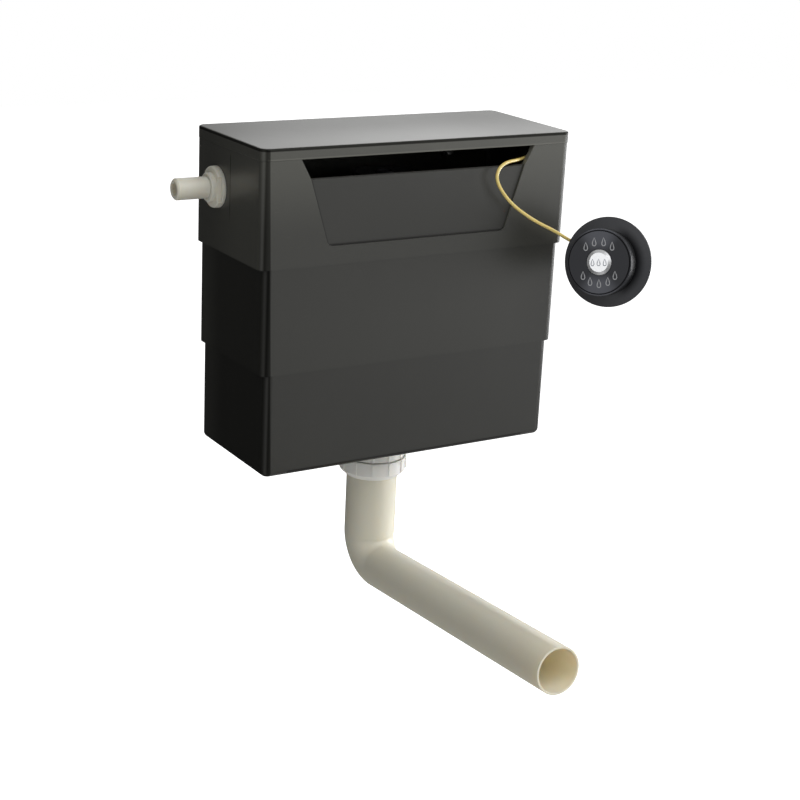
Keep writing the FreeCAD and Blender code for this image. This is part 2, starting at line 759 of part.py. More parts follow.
def make_inlet_valve_cap():
    body = new_body("inlet_valve_cap", inlet_frame)
    inner = "valveHeadDiameter / 2 + slideFit"
    turned(body, "Cap", [
        ("pilotBore / 2", "capSeat"),
        (inner, "capSeat"),
        (inner, "headEnd + capSkirt"),
        ("capOuter", "headEnd + capSkirt"),
        ("capOuter", "capEnd"),
        ("pilotNozzleDiameter / 2", "capEnd"),
        ("pilotNozzleDiameter / 2 - pilotTaper", "pilotTip"),
        ("pilotBore / 2", "pilotTip"),
    ])
    # Two lugs under the cap carry the float arm's pin
    low, high = "pivotAxis - lugLength / 2", "pivotAxis + lugLength / 2"
    sketch = outline(body, "LugOutline", "XZ_Plane", [
        ("-capOuter + capWall / 2", low), ("-capOuter + capWall / 2", high),
        ("-pivotDrop - lugLength / 2", high), ("-pivotDrop - lugLength / 2", low),
    ])
    extrude(body, "Pad", "Lugs", sketch, "2 * lugOuter", both_ways=True)
    sketch = outline(body, "LugGapOutline", "XZ_Plane", [
        ("-capOuter", "pivotAxis - lugLength"), ("-capOuter", "pivotAxis + lugLength"),
        ("-pivotDrop - lugLength", "pivotAxis + lugLength"),
        ("-pivotDrop - lugLength", "pivotAxis - lugLength"),
    ])
    extrude(body, "Pocket", "LugGap", sketch, "2 * lugInner", both_ways=True)
    sketch = circles(body, "PinHoleOutline", "XZ_Plane",
                     [("-pivotDrop", "pivotAxis", "pinDiameter / 2 + slideFit")])
    extrude(body, "Pocket", "PinHole", sketch, "4 * lugOuter", both_ways=True)
    sketch = outline(body, "BarrelReliefOutline", "XZ_Plane", [
        ("0", "capSeat"), (inner, "capSeat"), (inner, "headEnd + 2 * capSkirt"),
        ("0", "headEnd + 2 * capSkirt"),
    ])
    relief = body.newObject("PartDesign::Groove", "BarrelRelief")
    relief.Profile = sketch
    relief.ReferenceAxis = (sketch, ["V_Axis"])
    relief.Angle = 360.0


def make_float_arm():
    body = new_body("float_arm", pivot_frame)
    half = "armBeam / 2"
    leg_back = "armLegOffset + armLeg"
    sketch = outline(body, "ArmOutline", "XZ_Plane", [
        ("0", "-armBeam / 2"), ("armLength", "-armBeam / 2"), ("armLength", half),
        (leg_back, half), (leg_back, "pivotDrop + pilotPadDiameter / 2"),
        ("armLegOffset", "pivotDrop + pilotPadDiameter / 2"), ("armLegOffset", half),
        ("0", half),
    ])
    extrude(body, "Pad", "Beam", sketch, "armThickness", both_ways=True)
    sketch = circles(body, "HubOutline", "XZ_Plane", [("0", "0", "armHub")])
    extrude(body, "Pad", "Hub", sketch, "armThickness", both_ways=True)
    sketch = circles(body, "EyeOutline", "XY_Plane", [("screwReach", "0", "screwDiameter")])
    extrude(body, "Pad", "Eye", sketch, "armBeam + screwDiameter / 2", both_ways=True)
    sketch = circles(body, "EyeHoleOutline", "XY_Plane",
                     [("screwReach", "0", "screwDiameter / 2 + slideFit")])
    extrude(body, "Pocket", "EyeHole", sketch, "3 * armBeam", both_ways=True)
    sketch = circles(body, "PivotHoleOutline", "XZ_Plane",
                     [("0", "0", "pinDiameter / 2 + pinHoleGap")])
    extrude(body, "Pocket", "PivotHole", sketch, "3 * armThickness", both_ways=True)


def make_float_arm_pin():
    along_front = Placement(pivot_frame.Base, Rotation(Vector(1, 0, 0), 90))
    body = new_body("float_arm_pin", along_front)
    turned(body, "Pin", [
        ("0", "-lugOuter - pinTail"), ("pinDiameter / 2", "-lugOuter - pinTail"),
        ("pinDiameter / 2", "lugOuter"), ("pinHeadDiameter / 2", "lugOuter"),
        ("pinHeadDiameter / 2", "lugOuter + pinHead"), ("0", "lugOuter + pinHead"),
    ])


def make_pilot_pad():
    facing_valve = Placement(
        pivot_frame.multVec(Vector(value("armLegOffset"), 0, value("pivotDrop"))),
        Rotation(Vector(0, 1, 0), -90),
    )
    body = new_body("pilot_pad", facing_valve)
    turned(body, "Pad", [
        ("0", "0"), ("pilotPadDiameter / 2", "0"),
        ("pilotPadDiameter / 2", "pilotPad"), ("0", "pilotPad"),
    ])


def make_float_set():
    frame = Placement(pivot_frame.multVec(Vector(value("screwReach"), 0, 0)), Rotation())
    body = new_body("float_adjuster_screw", frame)
    radius = "screwDiameter / 2"
    turned(body, "Screw", [
        ("0", "-screwBelow"), (radius, "-screwBelow"), (radius, "screwAbove"),
        ("screwKnobDiameter / 2", "screwAbove"),
        ("screwKnobDiameter / 2", "screwAbove + screwKnob"), ("0", "screwAbove + screwKnob"),
    ])
    body = new_body("float_cup", frame)
    outer = "floatDiameter / 2"
    top = "-floatDrop - floatBoss"
    turned(body, "Cup", [
        (radius + " + slideFit", "-floatDrop"), ("floatBossDiameter / 2", "-floatDrop"),
        ("floatBossDiameter / 2", top), (outer, top),
        (outer, top + " - floatHeight"), (outer + " - floatWall", top + " - floatHeight"),
        (outer + " - floatWall", top + " - floatWall"),
        (radius + " + slideFit", top + " - floatWall"),
    ])


# Flush valve and outlet
def make_flush_valve_base():
    body = new_body("flush_valve_base", outlet_frame)
    bore = "outletBore / 2"
    socket_top = "socketDepth - outletTailLength"
    turned(body, "Base", [
        ("socketRadius", "-outletTailLength"), ("outletTail", "-outletTailLength"),
        ("outletTail", "baseUnder"), ("baseFlangeDiameter / 2", "baseUnder"),
        ("baseFlangeDiameter / 2", "baseTop"), ("cageInner - slideFit", "baseTop"),
        ("cageInner - slideFit", "baseTop + cageSpigot"),
        ("cageInner - slideFit - cageWall", "baseTop + cageSpigot"),
        ("cageInner - slideFit - cageWall", "baseTop"),
        (bore + " + seatWidth", "baseTop"), (bore + " + seatWidth", "seatTop"),
        (bore, "seatTop"), (bore, socket_top), ("socketRadius", socket_top),
    ])


def add_grips(body, radius, low, length, count="gripCount"):
    """Upright grip ribs round a nut."""
    sketch = outline(body, "GripOutline", "XY_Plane", [
        (radius + " - gripHeight", "-gripWidth / 2"), (radius + " + gripHeight", "-gripWidth / 2"),
        (radius + " + gripHeight", "gripWidth / 2"), (radius + " - gripHeight", "gripWidth / 2"),
    ], low)
    grip = extrude(body, "Pad", "Grip", sketch, length)
    ring_of(body, "Grips", grip, count)


def make_outlet_backnut():
    body = new_body("outlet_backnut", outlet_frame)
    inner, outer = "outletTail + threadGap", "outletNutDiameter / 2"
    turned(body, "Nut", [
        (inner, "0"), (outer, "0"), (outer, "-outletNutFlange"),
        (outer + " - outletNutStep", "-outletNutFlange - outletNutStep"),
        (outer + " - outletNutStep", "-outletNutLength"), (inner, "-outletNutLength"),
    ])
    add_grips(body, outer + " - outletNutStep", "-outletNutLength",
              "outletNutLength - outletNutFlange - outletNutStep")


def make_flush_pipe_nut():
    body = new_body("flush_pipe_nut", outlet_frame)
    thread = "outletTail + threadGap"
    lip = "legDiameter / 2 + 2 * pipeSealGap"
    turned(body, "Nut", [
        (thread, "-pipeNutTop"), ("pipeNutRadius", "-pipeNutTop"),
        ("pipeNutRadius", "pipeNutBottom + pipeNutChamfer"),
        ("pipeNutRadius - pipeNutChamfer", "pipeNutBottom"), (lip, "pipeNutBottom"),
        (lip, "pipeNutBottom + pipeNutLip"), (thread, "pipeNutBottom + pipeNutLip"),
    ])
    add_grips(body, "pipeNutRadius", "pipeNutBottom + pipeNutChamfer",
              "pipeNutLength - pipeNutChamfer - gripHeight")


def pipe_path():
    """The flush bend's centre line: its corner, the run's direction and the arc's two ends."""
    rise, yaw = math.radians(value("runRiseAngle")), math.radians(value("runYawAngle"))
    along = Vector(
        math.sin(yaw) * math.cos(rise), -math.cos(yaw) * math.cos(rise), math.sin(rise)
    )
    corner = Vector(0, 0, -value("bendDrop"))
    tangent = value("bendRadius") * math.tan((math.pi / 2 + rise) / 2)
    return corner, along, corner + Vector(0, 0, tangent), corner + along * tangent


def bend_solid(leg_radius, run_radius):
    """A solid rod along the bend: the leg, an arc that narrows, and the run."""
    corner, along, arc_start, arc_end = pipe_path()
    top = Vector(0, 0, -value("outletTailLength - socketDepth") - value("slideFit"))
    down = Vector(0, 0, -1)
    leg = Part.makeCylinder(leg_radius, (top - arc_start).Length, arc_start, -down)
    end = corner + along * value("runLength")
    run = Part.makeCylinder(run_radius, (end - arc_end).Length, arc_end, along)
    normal = down.cross(along).normalize()
    centre = arc_start + normal.cross(down) * value("bendRadius")
    middle_direction = ((arc_start - centre) + (arc_end - centre)).normalize()
    middle = centre + middle_direction * value("bendRadius")
    spine = Part.Wire([Part.Arc(arc_start, middle, arc_end).toShape()])
    profiles = [
        Part.Wire([Part.makeCircle(leg_radius, arc_start, down)]),
        Part.Wire([Part.makeCircle(run_radius, arc_end, along)]),
    ]
    bend = spine.makePipeShell(profiles, True, False)
    return leg.fuse([bend, run]).removeSplitter()


def add_shape(label, shape, frame):
    """A piece that only Part's own functions can shape."""
    feature = doc.addObject("Part::Feature", label)
    feature.Label = label
    feature.Shape = shape
    feature.Placement = frame
    pieces.append(feature)
    return feature


def make_flush_pipe():
    leg_radius, run_radius = value("legDiameter / 2"), value("runDiameter / 2")
    outside = bend_solid(leg_radius, run_radius)
    bore = bend_solid(leg_radius - value("pipeWall"), run_radius - value("pipeWall"))
    add_shape("flush_pipe", outside.cut(bore), outlet_frame)


def make_flush_valve_cage():
    body = new_body("flush_valve_cage", outlet_frame)
    turned(body, "Tower", [
        ("cageInner", "baseTop"), ("cageDiameter / 2", "baseTop"),
        ("cageDiameter / 2", "cageShoulder"),
        ("towerDiameter / 2", "cageShoulder + cageTaper"), ("towerDiameter / 2", "towerTop"),
        ("towerInner", "towerTop"), ("towerInner", "cageShoulder + cageTaper"),
        ("cageInner", "cageShoulder"),
    ])
    windows = (
        ("LowerWindow", "windowWidth", "windowBottom", "windowTop"),
        ("UpperWindow", "upperWindowWidth", "upperWindowBottom", "upperWindowTop"),
    )
    for name, width, low, high in windows:
        sketch = outline(body, name + "Outline", "XZ_Plane", [
            ("-%s / 2" % width, low), ("%s / 2" % width, low),
            ("%s / 2" % width, high), ("-%s / 2" % width, high),
        ])
        window = extrude(body, "Pocket", name, sketch, "cageDiameter", flip=True)
        ring_of(body, name + "s", window, "windowCount")


def make_valve_spindle():
    body = new_body("valve_spindle", outlet_frame)
    inner = "spindleRadius - spindleWall"
    turned(body, "Tube", [
        (inner, "footUnder"), ("spindleFootDiameter / 2", "footUnder"),
        ("spindleFootDiameter / 2", "footTop"), ("spindleRadius", "footTop"),
        ("spindleRadius", "collarHeight"), ("collarDiameter / 2", "collarHeight"),
        ("collarDiameter / 2", "collarTop"), ("spindleRadius", "collarTop"),
        ("spindleRadius", "spindleTop"), (inner, "spindleTop"),
    ])


def make_bellows(label, frame, inner, outer, low, high):
    """A folded rubber bellows about local Z."""
    body = new_body(label, frame)
    steps = 2 * int(value("bellowsFolds"))
    fold = "((%s) - (%s)) / (2 * bellowsFolds)" % (high, low)
    skin = "(%s) - bellowsFold" % outer
    side = [(outer if step % 2 == 0 else skin, "(%s) + %d * %s" % (low, step, fold))
            for step in range(steps + 1)]
    back = [("(%s) - bellowsWall" % across, along) for across, along in side[1:-1]]
    turned(body, "Bellows", [(inner, low)] + side + [
        (inner, high), (inner, "(%s) - bellowsWall" % high),
        ("(%s) - bellowsLip" % outer, "(%s) - bellowsWall" % high),
    ] + back[::-1] + [
        ("(%s) - bellowsLip" % outer, "(%s) + bellowsWall" % low),
        (inner, "(%s) + bellowsWall" % low),
    ])


def make_actuator_housing():
    body = new_body("actuator_housing", outlet_frame)
    turned(body, "Drum", [
        ("spindleRadius + spindleHoleGap", "towerTop"), ("towerDiameter / 2", "towerTop"),
        ("towerDiameter / 2", "actuatorTop"), ("actuatorInner", "actuatorTop"),
        ("actuatorInner", "actuatorBase"), ("spindleRadius + spindleHoleGap", "actuatorBase"),
    ])
    sketch = circles(body, "NozzleOutline", "YZ_Plane",
                     [("0", "towerTop + airNozzleRise", "airNozzleDiameter / 2")],
                     "actuatorInner + actuatorWall / 2")
    extrude(body, "Pad", "Nozzle", sketch, "airNozzleLength + actuatorWall / 2")


def make_actuator_cap():
    body = new_body("actuator_cap", outlet_frame)
    turned(body, "Cap", [
        ("spindleRadius + spindleHoleGap", "actuatorTop"),
        ("spindleRadius + spindleHoleGap", "actuatorTop + actuatorCap"),
        ("towerDiameter / 2", "actuatorTop + actuatorCap"),
        ("towerDiameter / 2", "actuatorTop"),
        ("actuatorInner - slideFit", "actuatorTop"),
        ("actuatorInner - slideFit", "actuatorTop - actuatorCapSpigot"),
        ("actuatorInner - actuatorWall", "actuatorTop - actuatorCapSpigot"),
        ("actuatorInner - actuatorWall", "actuatorTop"),
    ])


# Button set
def make_button_plate():
    body = new_body("button_plate", button_frame)
    collar_inner = "collarTubeRadius - collarTubeWall"
    plate = turned(body, "Plate", [
        ("neckBore", "-neckLength"), ("neckRadius", "-neckLength"), ("neckRadius", "0"),
        ("plateRadius", "0"), ("plateRadius", "plateRim"),
        ("collarTubeRadius", "plateCrown"), ("collarTubeRadius", "collarTubeHeight"),
        (collar_inner, "collarTubeHeight"), (collar_inner, "plateRim"), ("neckBore", "plateRim"),
    ])
    level, reach = value("plateRim"), value("plateRadius")
    soften(body, "Fillet", "RimEdge", plate, "plateRimRadius",
           lambda edge: lies_at(edge, level) and edge.BoundBox.XMax > reach - 0.01)


def make_button_panel_nut():
    body = new_body("button_panel_nut", button_frame)
    outer = "panelNutDiameter / 2"
    turned(body, "Nut", [
        ("neckRadius + threadGap", "panelBack"), (outer, "panelBack"),
        (outer, "panelBack - panelNutGrip"), (outer + " - panelNutGrip", "panelBack - panelNutGrip"),
        (outer + " - panelNutGrip", "panelBack - panelNutLength"),
        ("neckRadius + threadGap", "panelBack - panelNutLength"),
    ])
    add_grips(body, outer + " - panelNutGrip", "panelBack - panelNutLength",
              "panelNutLength - panelNutGrip")


def make_button_housing():
    body = new_body("button_housing", button_frame)
    turned(body, "Cup", [
        ("0", "-buttonCup"), ("cupOuter", "-buttonCup"),
        ("cupOuter", "buttonCupOverlap - neckLength"), ("cupInner", "buttonCupOverlap - neckLength"),
        ("cupInner", "cupFloorTop"), ("0", "cupFloorTop"),
    ])
    # Slanted hose nozzle on the side of the cup
    nozzle = body.newObject("PartDesign::AdditiveCylinder", "Nozzle")
    tie(nozzle, "Radius", "airNozzleDiameter / 2")
    tie(nozzle, "Height", "buttonNozzleLength")
    nozzle.Placement = nozzle_placement()


def nozzle_placement():
    """The button nozzle in the button's frame: its root in the cup's wall and its slant."""
    turn = Rotation(Vector(0, 0, 1), value("buttonNozzleTurnAngle"))
    slant = Rotation(Vector(0, 1, 0), 90.0 - value("buttonNozzleTiltAngle"))
    root = Vector(value("cupInner + buttonCupWall / 2"), 0, value("cupFloorTop + buttonNozzleRise"))
    return Placement(turn.multVec(root), turn * slant)


def make_full_flush_button():
    body = new_body("full_flush_button", button_frame)
    groove_in, groove_out = "capFaceDiameter / 2 - capGroove", "capFaceDiameter / 2"
    under = "buttonTop - capShell"
    cap = turned(body, "Cap", [
        ("halfBore", "buttonTop"), (groove_in, "buttonTop"),
        (groove_in, "buttonTop - capGrooveDepth"), (groove_out, "buttonTop - capGrooveDepth"),
        (groove_out, "buttonTop"), ("capRadius", "buttonTop"),
        ("capRadius", "buttonTop - capSide"), ("capRadius - capSkirtWall", "buttonTop - capSide"),
        ("capRadius - capSkirtWall", under), ("plungerRadius", under),
        ("plungerRadius", "-plungerBelow"), ("stemRadius + plungerGap", "-plungerBelow"),
        ("stemRadius + plungerGap", "halfFloor"), ("halfBore", "halfFloor"),
    ])
    level, reach = value("buttonTop"), value("capRadius")
    soften(body, "Fillet", "CapEdge", cap, "capEdgeRadius",
           lambda edge: lies_at(edge, level) and edge.BoundBox.XMax > reach - 0.01)


def make_half_flush_button():
    body = new_body("half_flush_button", button_frame)
    radius = "halfButtonDiameter / 2"
    top = "buttonTop + halfButtonProud"
    turned(body, "Dome", [
        ("0", top), (radius + " - halfButtonRim", top), (radius, top + " - halfButtonEdge"),
        (radius, "buttonTop - halfButtonBody"), ("stemRadius", "buttonTop - halfButtonBody"),
        ("stemRadius", "-plungerBelow"), ("0", "-plungerBelow"),
    ])


def make_spring(label, frame, radius, wire, low, high, turns):
    """A compression spring wound about local Z between two heights."""
    lift = high - low - wire
    helix = Part.makeHelix(lift / turns, lift, radius)
    start = Vector(radius, 0, 0)
    rise = Vector(0, 2 * math.pi * radius, lift / turns)
    section = Part.Wire([Part.makeCircle(wire / 2, start, rise)])
    coil = Part.Wire(helix.Edges).makePipeShell([section], True, True)
    lifted = Placement(Vector(0, 0, low + wire / 2), Rotation())
    add_shape(label, coil, frame.multiply(lifted))
    length = turns * math.hypot(2 * math.pi * radius, lift / turns)
    share = coil.Volume / (length * math.pi * wire * wire / 4)
    print("%s volume against wire length: %.3f" % (label, share))
    print("%s gap between turns: %.2f mm" % (label, lift / turns - wire))


# Air hose: from the actuator, round behind the front wall, out of the slot and down to the button
def hose_ends():
    """The two nozzle faces that the hose meets."""
    start = outlet_frame.multVec(
        Vector(value("towerDiameter / 2 + airNozzleLength"), 0, value("towerTop + airNozzleRise"))
    )
    tip = button_frame.multiply(nozzle_placement())
    end = tip.multVec(Vector(0, 0, value("buttonNozzleLength")))
    back = tip.multVec(Vector(0, 0, value("buttonNozzleLength + hoseLastRun")))
    return start, back, end


HOSE_ROUTE = [
    (62.0, -70.0, -35.0),
    (91.0, -76.0, -29.5),
    (118.0, -87.0, -17.0),
    (136.0, -98.0, -4.0),
    (145.0, -109.0, 6.0),
    (142.5, -119.0, 12.5),
    (133.5, -125.0, 15.5),
    (122.0, -131.0, 14.0),
    (109.5, -139.0, 14.5),
    (94.5, -143.0, 14.0),
    (84.0, -146.5, 10.0),
    (79.0, -149.0, 1.5),
    (81.5, -151.0, -7.5),
    (88.5, -152.5, -17.5),
    (97.5, -153.8, -26.5),
    (109.0, -155.0, -35.0),
    (127.0, -157.0, -46.0),
    (149.0, -158.0, -56.2),
]


def make_air_hose():
    start, back, end = hose_ends()
    points = [start] + [Vector(*point) for point in HOSE_ROUTE] + [back, end]
    diameter = value("hoseDiameter")
    edges, last, length = [], points[0], 0.0
    for before, here, after in zip(points, points[1:], points[2:]):
        into, out = (here - before).normalize(), (after - here).normalize()
        half_turn = into.getAngle(out) / 2
        trim = 0.45 * min((here - before).Length, (after - here).Length)
        radius = trim / math.tan(half_turn)
        print("hose bend radius %.1f mm, turn %.0f degrees" % (radius, math.degrees(2 * half_turn)))
        arc_start, arc_end = here - into * trim, here + out * trim
        inward = (out - into).normalize()
        centre = here + inward * (radius / math.cos(half_turn))
        middle = centre - inward * radius
        edges.append(Part.LineSegment(last, arc_start).toShape())
        edges.append(Part.Arc(arc_start, middle, arc_end).toShape())
        length += (arc_start - last).Length + radius * 2 * half_turn
        last = arc_end
    edges.append(Part.LineSegment(last, points[-1]).toShape())
    length += (points[-1] - last).Length
    section = Part.Wire([Part.makeCircle(diameter / 2, points[0], points[1] - points[0])])
    tube = Part.Wire(edges).makePipeShell([section], True, False)
    share = tube.Volume / (length * math.pi * diameter * diameter / 4)
    print("hose length %.1f mm, volume against section times length %.4f" % (length, share))
    add_shape("air_hose", tube, Placement())


make_tank()
make_lid()
make_inlet_valve_body()
plain_ring("inlet_seal_washer", inlet_frame, "tailRadius + threadGap",
           "inletFlangeDiameter / 2 - washerInset", "flangeFace", "-padWall")
make_inlet_backnut()
make_inlet_filter()
plain_ring("inlet_diaphragm", inlet_frame, "0", "valveHeadDiameter / 2 - washerInset",
           "capSeat", "headEnd")
make_inlet_valve_cap()
plain_ring("inlet_drop_tube", spout_frame, "spoutDiameter / 2 + slideFit",
           "spoutDiameter / 2 + slideFit + dropTubeWall", "dropTubeFoot - inletHeight",
           "-valveBarrelDiameter / 2 - washerInset")
make_float_arm()
make_float_arm_pin()
make_pilot_pad()
make_float_set()
make_flush_valve_base()
plain_ring("base_seal_washer", outlet_frame, "outletTail + threadGap",
           "baseFlangeDiameter / 2 - 2 * washerInset", "wall", "baseUnder")
make_outlet_backnut()
make_flush_pipe_nut()
plain_ring("flush_pipe_seal", outlet_frame, "legDiameter / 2 + slideFit",
           "outletTail - pipeSealGap", "pipeNutBottom + pipeNutLip",
           "-outletTailLength")
make_flush_pipe()
make_flush_valve_cage()
make_valve_spindle()
plain_ring("flush_seal", outlet_frame, "spindleRadius - spindleWall", "flushSealDiameter / 2",
           "seatTop + sealGap", "footUnder")
plain_ring("half_flush_float", outlet_frame, "spindleRadius + threadGap",
           "halfFloatDiameter / 2", "halfFloatBottom", "halfFloatTop")
plain_ring("half_flush_clip", outlet_frame, "spindleRadius + slideFit", "clipDiameter / 2",
           "halfFloatTop + stackGap", "halfFloatTop + stackGap + clipHeight")
make_actuator_housing()
plain_ring("actuator_piston", outlet_frame, "spindleRadius + slideFit", "pistonDiameter / 2",
           "pistonUnder", "pistonUnder + piston")
make_bellows("actuator_bellows", outlet_frame, "spindleRadius + spindleHoleGap + bellowsGap",
             "pistonDiameter / 2", "actuatorBase", "pistonUnder")
make_actuator_cap()
make_button_plate()
plain_ring("button_gasket", button_frame, "neckRadius + threadGap", "gasketDiameter / 2",
           "-gasket", "0")
make_button_panel_nut()
make_button_housing()
make_full_flush_button()
make_half_flush_button()
make_bellows("button_bellows", button_frame, "buttonBellowsBore / 2", "buttonBellowsDiameter / 2",
             "cupFloorTop", "-plungerBelow")
make_spring("full_return_spring", button_frame, value("plungerRadius - springWire / 2 - springGap"),
            value("springWire"), value("cupFloorTop"), value("-plungerBelow"),
            int(value("fullSpringTurns")))
make_spring("half_return_spring", button_frame, value("stemRadius + halfSpringClear"),
            value("halfSpringWire"), value("halfFloor"), value("buttonTop - halfButtonBody"),
            int(value("halfSpringTurns")))
make_air_hose()

doc.recompute()
for thing in doc.Objects:
    if "Invalid" in thing.State or "Error" in thing.State:
        raise RuntimeError("%s is %s" % (thing.Name, thing.State))
for piece in pieces:
    shape = piece.Shape
    if shape.isNull() or not shape.isValid() or len(shape.Solids) != 1:
        raise RuntimeError("%s has no single valid solid" % piece.Label)
for piece in pieces:
    piece.Shape.exportStep("parts/%s.step" % piece.Label)
    print("%-22s %9.0f mm3" % (piece.Label, piece.Shape.Volume))
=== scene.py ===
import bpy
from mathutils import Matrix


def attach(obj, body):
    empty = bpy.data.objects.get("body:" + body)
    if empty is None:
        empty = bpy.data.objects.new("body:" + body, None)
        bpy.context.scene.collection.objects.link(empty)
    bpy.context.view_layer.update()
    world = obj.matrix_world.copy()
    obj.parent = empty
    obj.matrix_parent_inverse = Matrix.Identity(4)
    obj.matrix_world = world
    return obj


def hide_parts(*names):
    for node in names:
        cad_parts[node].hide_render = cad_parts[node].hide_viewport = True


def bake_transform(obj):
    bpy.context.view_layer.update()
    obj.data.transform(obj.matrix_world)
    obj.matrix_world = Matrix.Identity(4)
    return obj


bl_info = {
    "name": "Concealed cistern finishes",
    "version": (1, 0, 0),
    "blender": (4, 5, 0),
    "location": "3D View > Sidebar > Cistern",
    "description": "Dresses the concealed cistern, its flush bend, its air hose and its push button",
    "category": "Object",
}

import math

import bpy
from bpy.props import FloatProperty, FloatVectorProperty, IntProperty, PointerProperty
from bpy.types import Operator, Panel, PropertyGroup
from mathutils import Color, Matrix, Vector

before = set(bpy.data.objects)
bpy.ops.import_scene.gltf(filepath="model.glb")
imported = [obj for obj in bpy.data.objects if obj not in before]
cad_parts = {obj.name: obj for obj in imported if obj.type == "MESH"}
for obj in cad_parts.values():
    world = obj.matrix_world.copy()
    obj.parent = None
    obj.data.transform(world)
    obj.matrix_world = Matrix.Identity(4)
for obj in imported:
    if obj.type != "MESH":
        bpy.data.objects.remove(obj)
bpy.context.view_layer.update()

# Places in the shared frame, in metres: +Z up, the front on -Y, the origin on the tank's rear face
TANK_FLOOR = -0.280
OUTLET_AXIS = (0.0, -0.070)
BUTTON_CENTRE = (0.182, -0.205, -0.080)

# The recessed panel's foot on Z, and where its left edge starts there on X
PANEL_FOOT = -0.0553
PANEL_FOOT_LEFT = -0.1019
# How far the panel's left edge leans out for each metre up
PANEL_SLANT = 0.317
# The values of Y that the panel's front lies between, and the value that its walls end before
PANEL_FRONT = (-0.1392, -0.1375)
RECESS_REAR = -0.130
# Half the panel's greatest width, its upper end on Z, and the soft edge of the painted shade line round
# it
PANEL_HALF_WIDTH = 0.1385
PANEL_TOP = 0.0096
PANEL_SHADE_LINE = (0.0010, 0.0026)

# The tank's front left corner on X, and how far it leans for each metre up
FRONT_CORNER = -0.1640
FRONT_CORNER_SLANT = 0.029
# Where the shade of each front corner ends on Y, and where the right one starts on X
LEFT_CORNER_END = (-0.128, -0.126)
RIGHT_CORNER_END = (-0.131, -0.129)
RIGHT_CORNER_START = 0.140
# The soft inner limit on X of the painted shade on the lower tiers' left wall
LOWER_LEFT_WALL = (-0.1640, -0.1600)
# The front edge of the inlet's pad on Y, and the soft ends on Z of the painted shade line along it
INLET_PAD_EDGE = -0.0744
INLET_PAD_FOOT = (-0.045, -0.025)
INLET_PAD_TOP = (0.020, 0.026)
# Painted shade on the lid's round edge, and a painted highlight line at its foot: rise and fall on Z
LID_EDGE_PAINTED_SHADE = ((0.0366, 0.0376), (0.0393, 0.0399))
LID_PAINTED_HIGHLIGHT = ((0.0286, 0.0290), (0.0298, 0.0304))

# How the button faces, in degrees: to the left, upwards and rolled
BUTTON_FACING = 56.5
BUTTON_TILT = 10.7
BUTTON_ROLL = 8.5

# Levels on the button's axis: the large cap's underside, the soft end of the painted shade on its lower
# side, its
# rim, the end of its side, its face, and the centre button's face
CAP_UNDERSIDE = 0.0148
CAP_SIDE_SHADE = (0.0205, 0.0225)
CAP_RIM = 0.0290
CAP_SIDE_END = 0.0292
CAP_FACE = 0.0300
CENTRE_FACE = 0.0310
# Radii: the painted shade in the groove round the cap's face (rise, fall), and the soft edge of the
# collar's painted shade
CAP_GROOVE_SHADE = ((0.0303, 0.0307), (0.0315, 0.0319))
COLLAR_SHADE = (0.0290, 0.0300)

# The photograph's camera
CAMERA_PLACE = (-0.88617, -1.51942, 0.31943)
CAMERA_HEADING = 32.311
CAMERA_DOWN = 18.259
CAMERA_ROLL = 2.841
CAMERA_LENS = 77.78


def screen(red, green, blue):
    """A colour as a screen shows it, from counts of 0 to 255."""
    return (red / 255, green / 255, blue / 255)


def colour_property(name, description, default):
    """A colour that is set as the screen shows it."""
    return FloatVectorProperty(
        name=name, description=description, default=default,
        subtype="COLOR_GAMMA", size=3, min=0.0, max=1.0,
    )


def size_property(name, description, default):
    """A length in metres."""
    return FloatProperty(
        name=name, description=description, default=default,
        subtype="DISTANCE", unit="LENGTH", min=0.0, precision=4,
    )


def share_property(name, description, default):
    """A number from 0 to 1."""
    return FloatProperty(
        name=name, description=description, default=default,
        subtype="FACTOR", min=0.0, max=1.0,
    )


def factor_property(name, description, default):
    """A number of 0 or more."""
    return FloatProperty(name=name, description=description, default=default, min=0.0)


def power_property(name, description, default):
    """A lamp's power in watts."""
    return FloatProperty(
        name=name, description=description, default=default, subtype="POWER", unit="POWER", min=0.0,
    )


def count_property(name, description, default, fewest):
    """A whole number."""
    return IntProperty(name=name, description=description, default=default, min=fewest)


class CisternTankProperties(PropertyGroup):
    colour: colour_property("Colour", "Charcoal of the tank and lid", screen(52, 52, 48))
    roughness: share_property("Roughness", "How matt the tank is", 0.34)
    edge: size_property("Edge", "Rounding of the tank's moulded edges", 0.0008)
    grain: size_property("Grain", "Size of the moulded grain", 0.0009)
    tier: size_property("Tier height", "Height of one tier of the tank", 0.1032)
    # Glow: how strongly painted light makes the tank's colour paler towards its top
    glow: factor_property("Glow", "How much paler the tank is at its top", 2.1)


class CisternInletProperties(PropertyGroup):
    colour: colour_property("Colour", "Grey white of the tail and wing nut", screen(228, 224, 210))
    roughness: share_property("Roughness", "How matt the inlet is", 0.38)
    edge: size_property("Edge", "Rounding of the inlet's edges", 0.0004)


class CisternOutletProperties(PropertyGroup):
    nut_colour: colour_property("Nut colour", "Milky white of the two nuts", screen(249, 248, 242))
    pipe_colour: colour_property("Pipe colour", "Cream of the flush bend", screen(240, 231, 210))
    roughness: share_property("Roughness", "How matt the outlet is", 0.36)
    edge: size_property("Edge", "Rounding of the nuts' and pipe's edges", 0.0005)


class CisternValveProperties(PropertyGroup):
    colour: colour_property("Colour", "White of the parts inside the tank", screen(214, 214, 208))
    signal: colour_property("Setting colour", "Blue of what is set by hand", screen(52, 104, 158))
    dark: colour_property("Dark plastic", "Charcoal of the spindle and actuator", screen(48, 49, 53))
    rubber: colour_property("Rubber", "Black of the seals and bellows", screen(38, 37, 36))
    edge: size_property("Edge", "Rounding of the inner parts' edges", 0.0003)


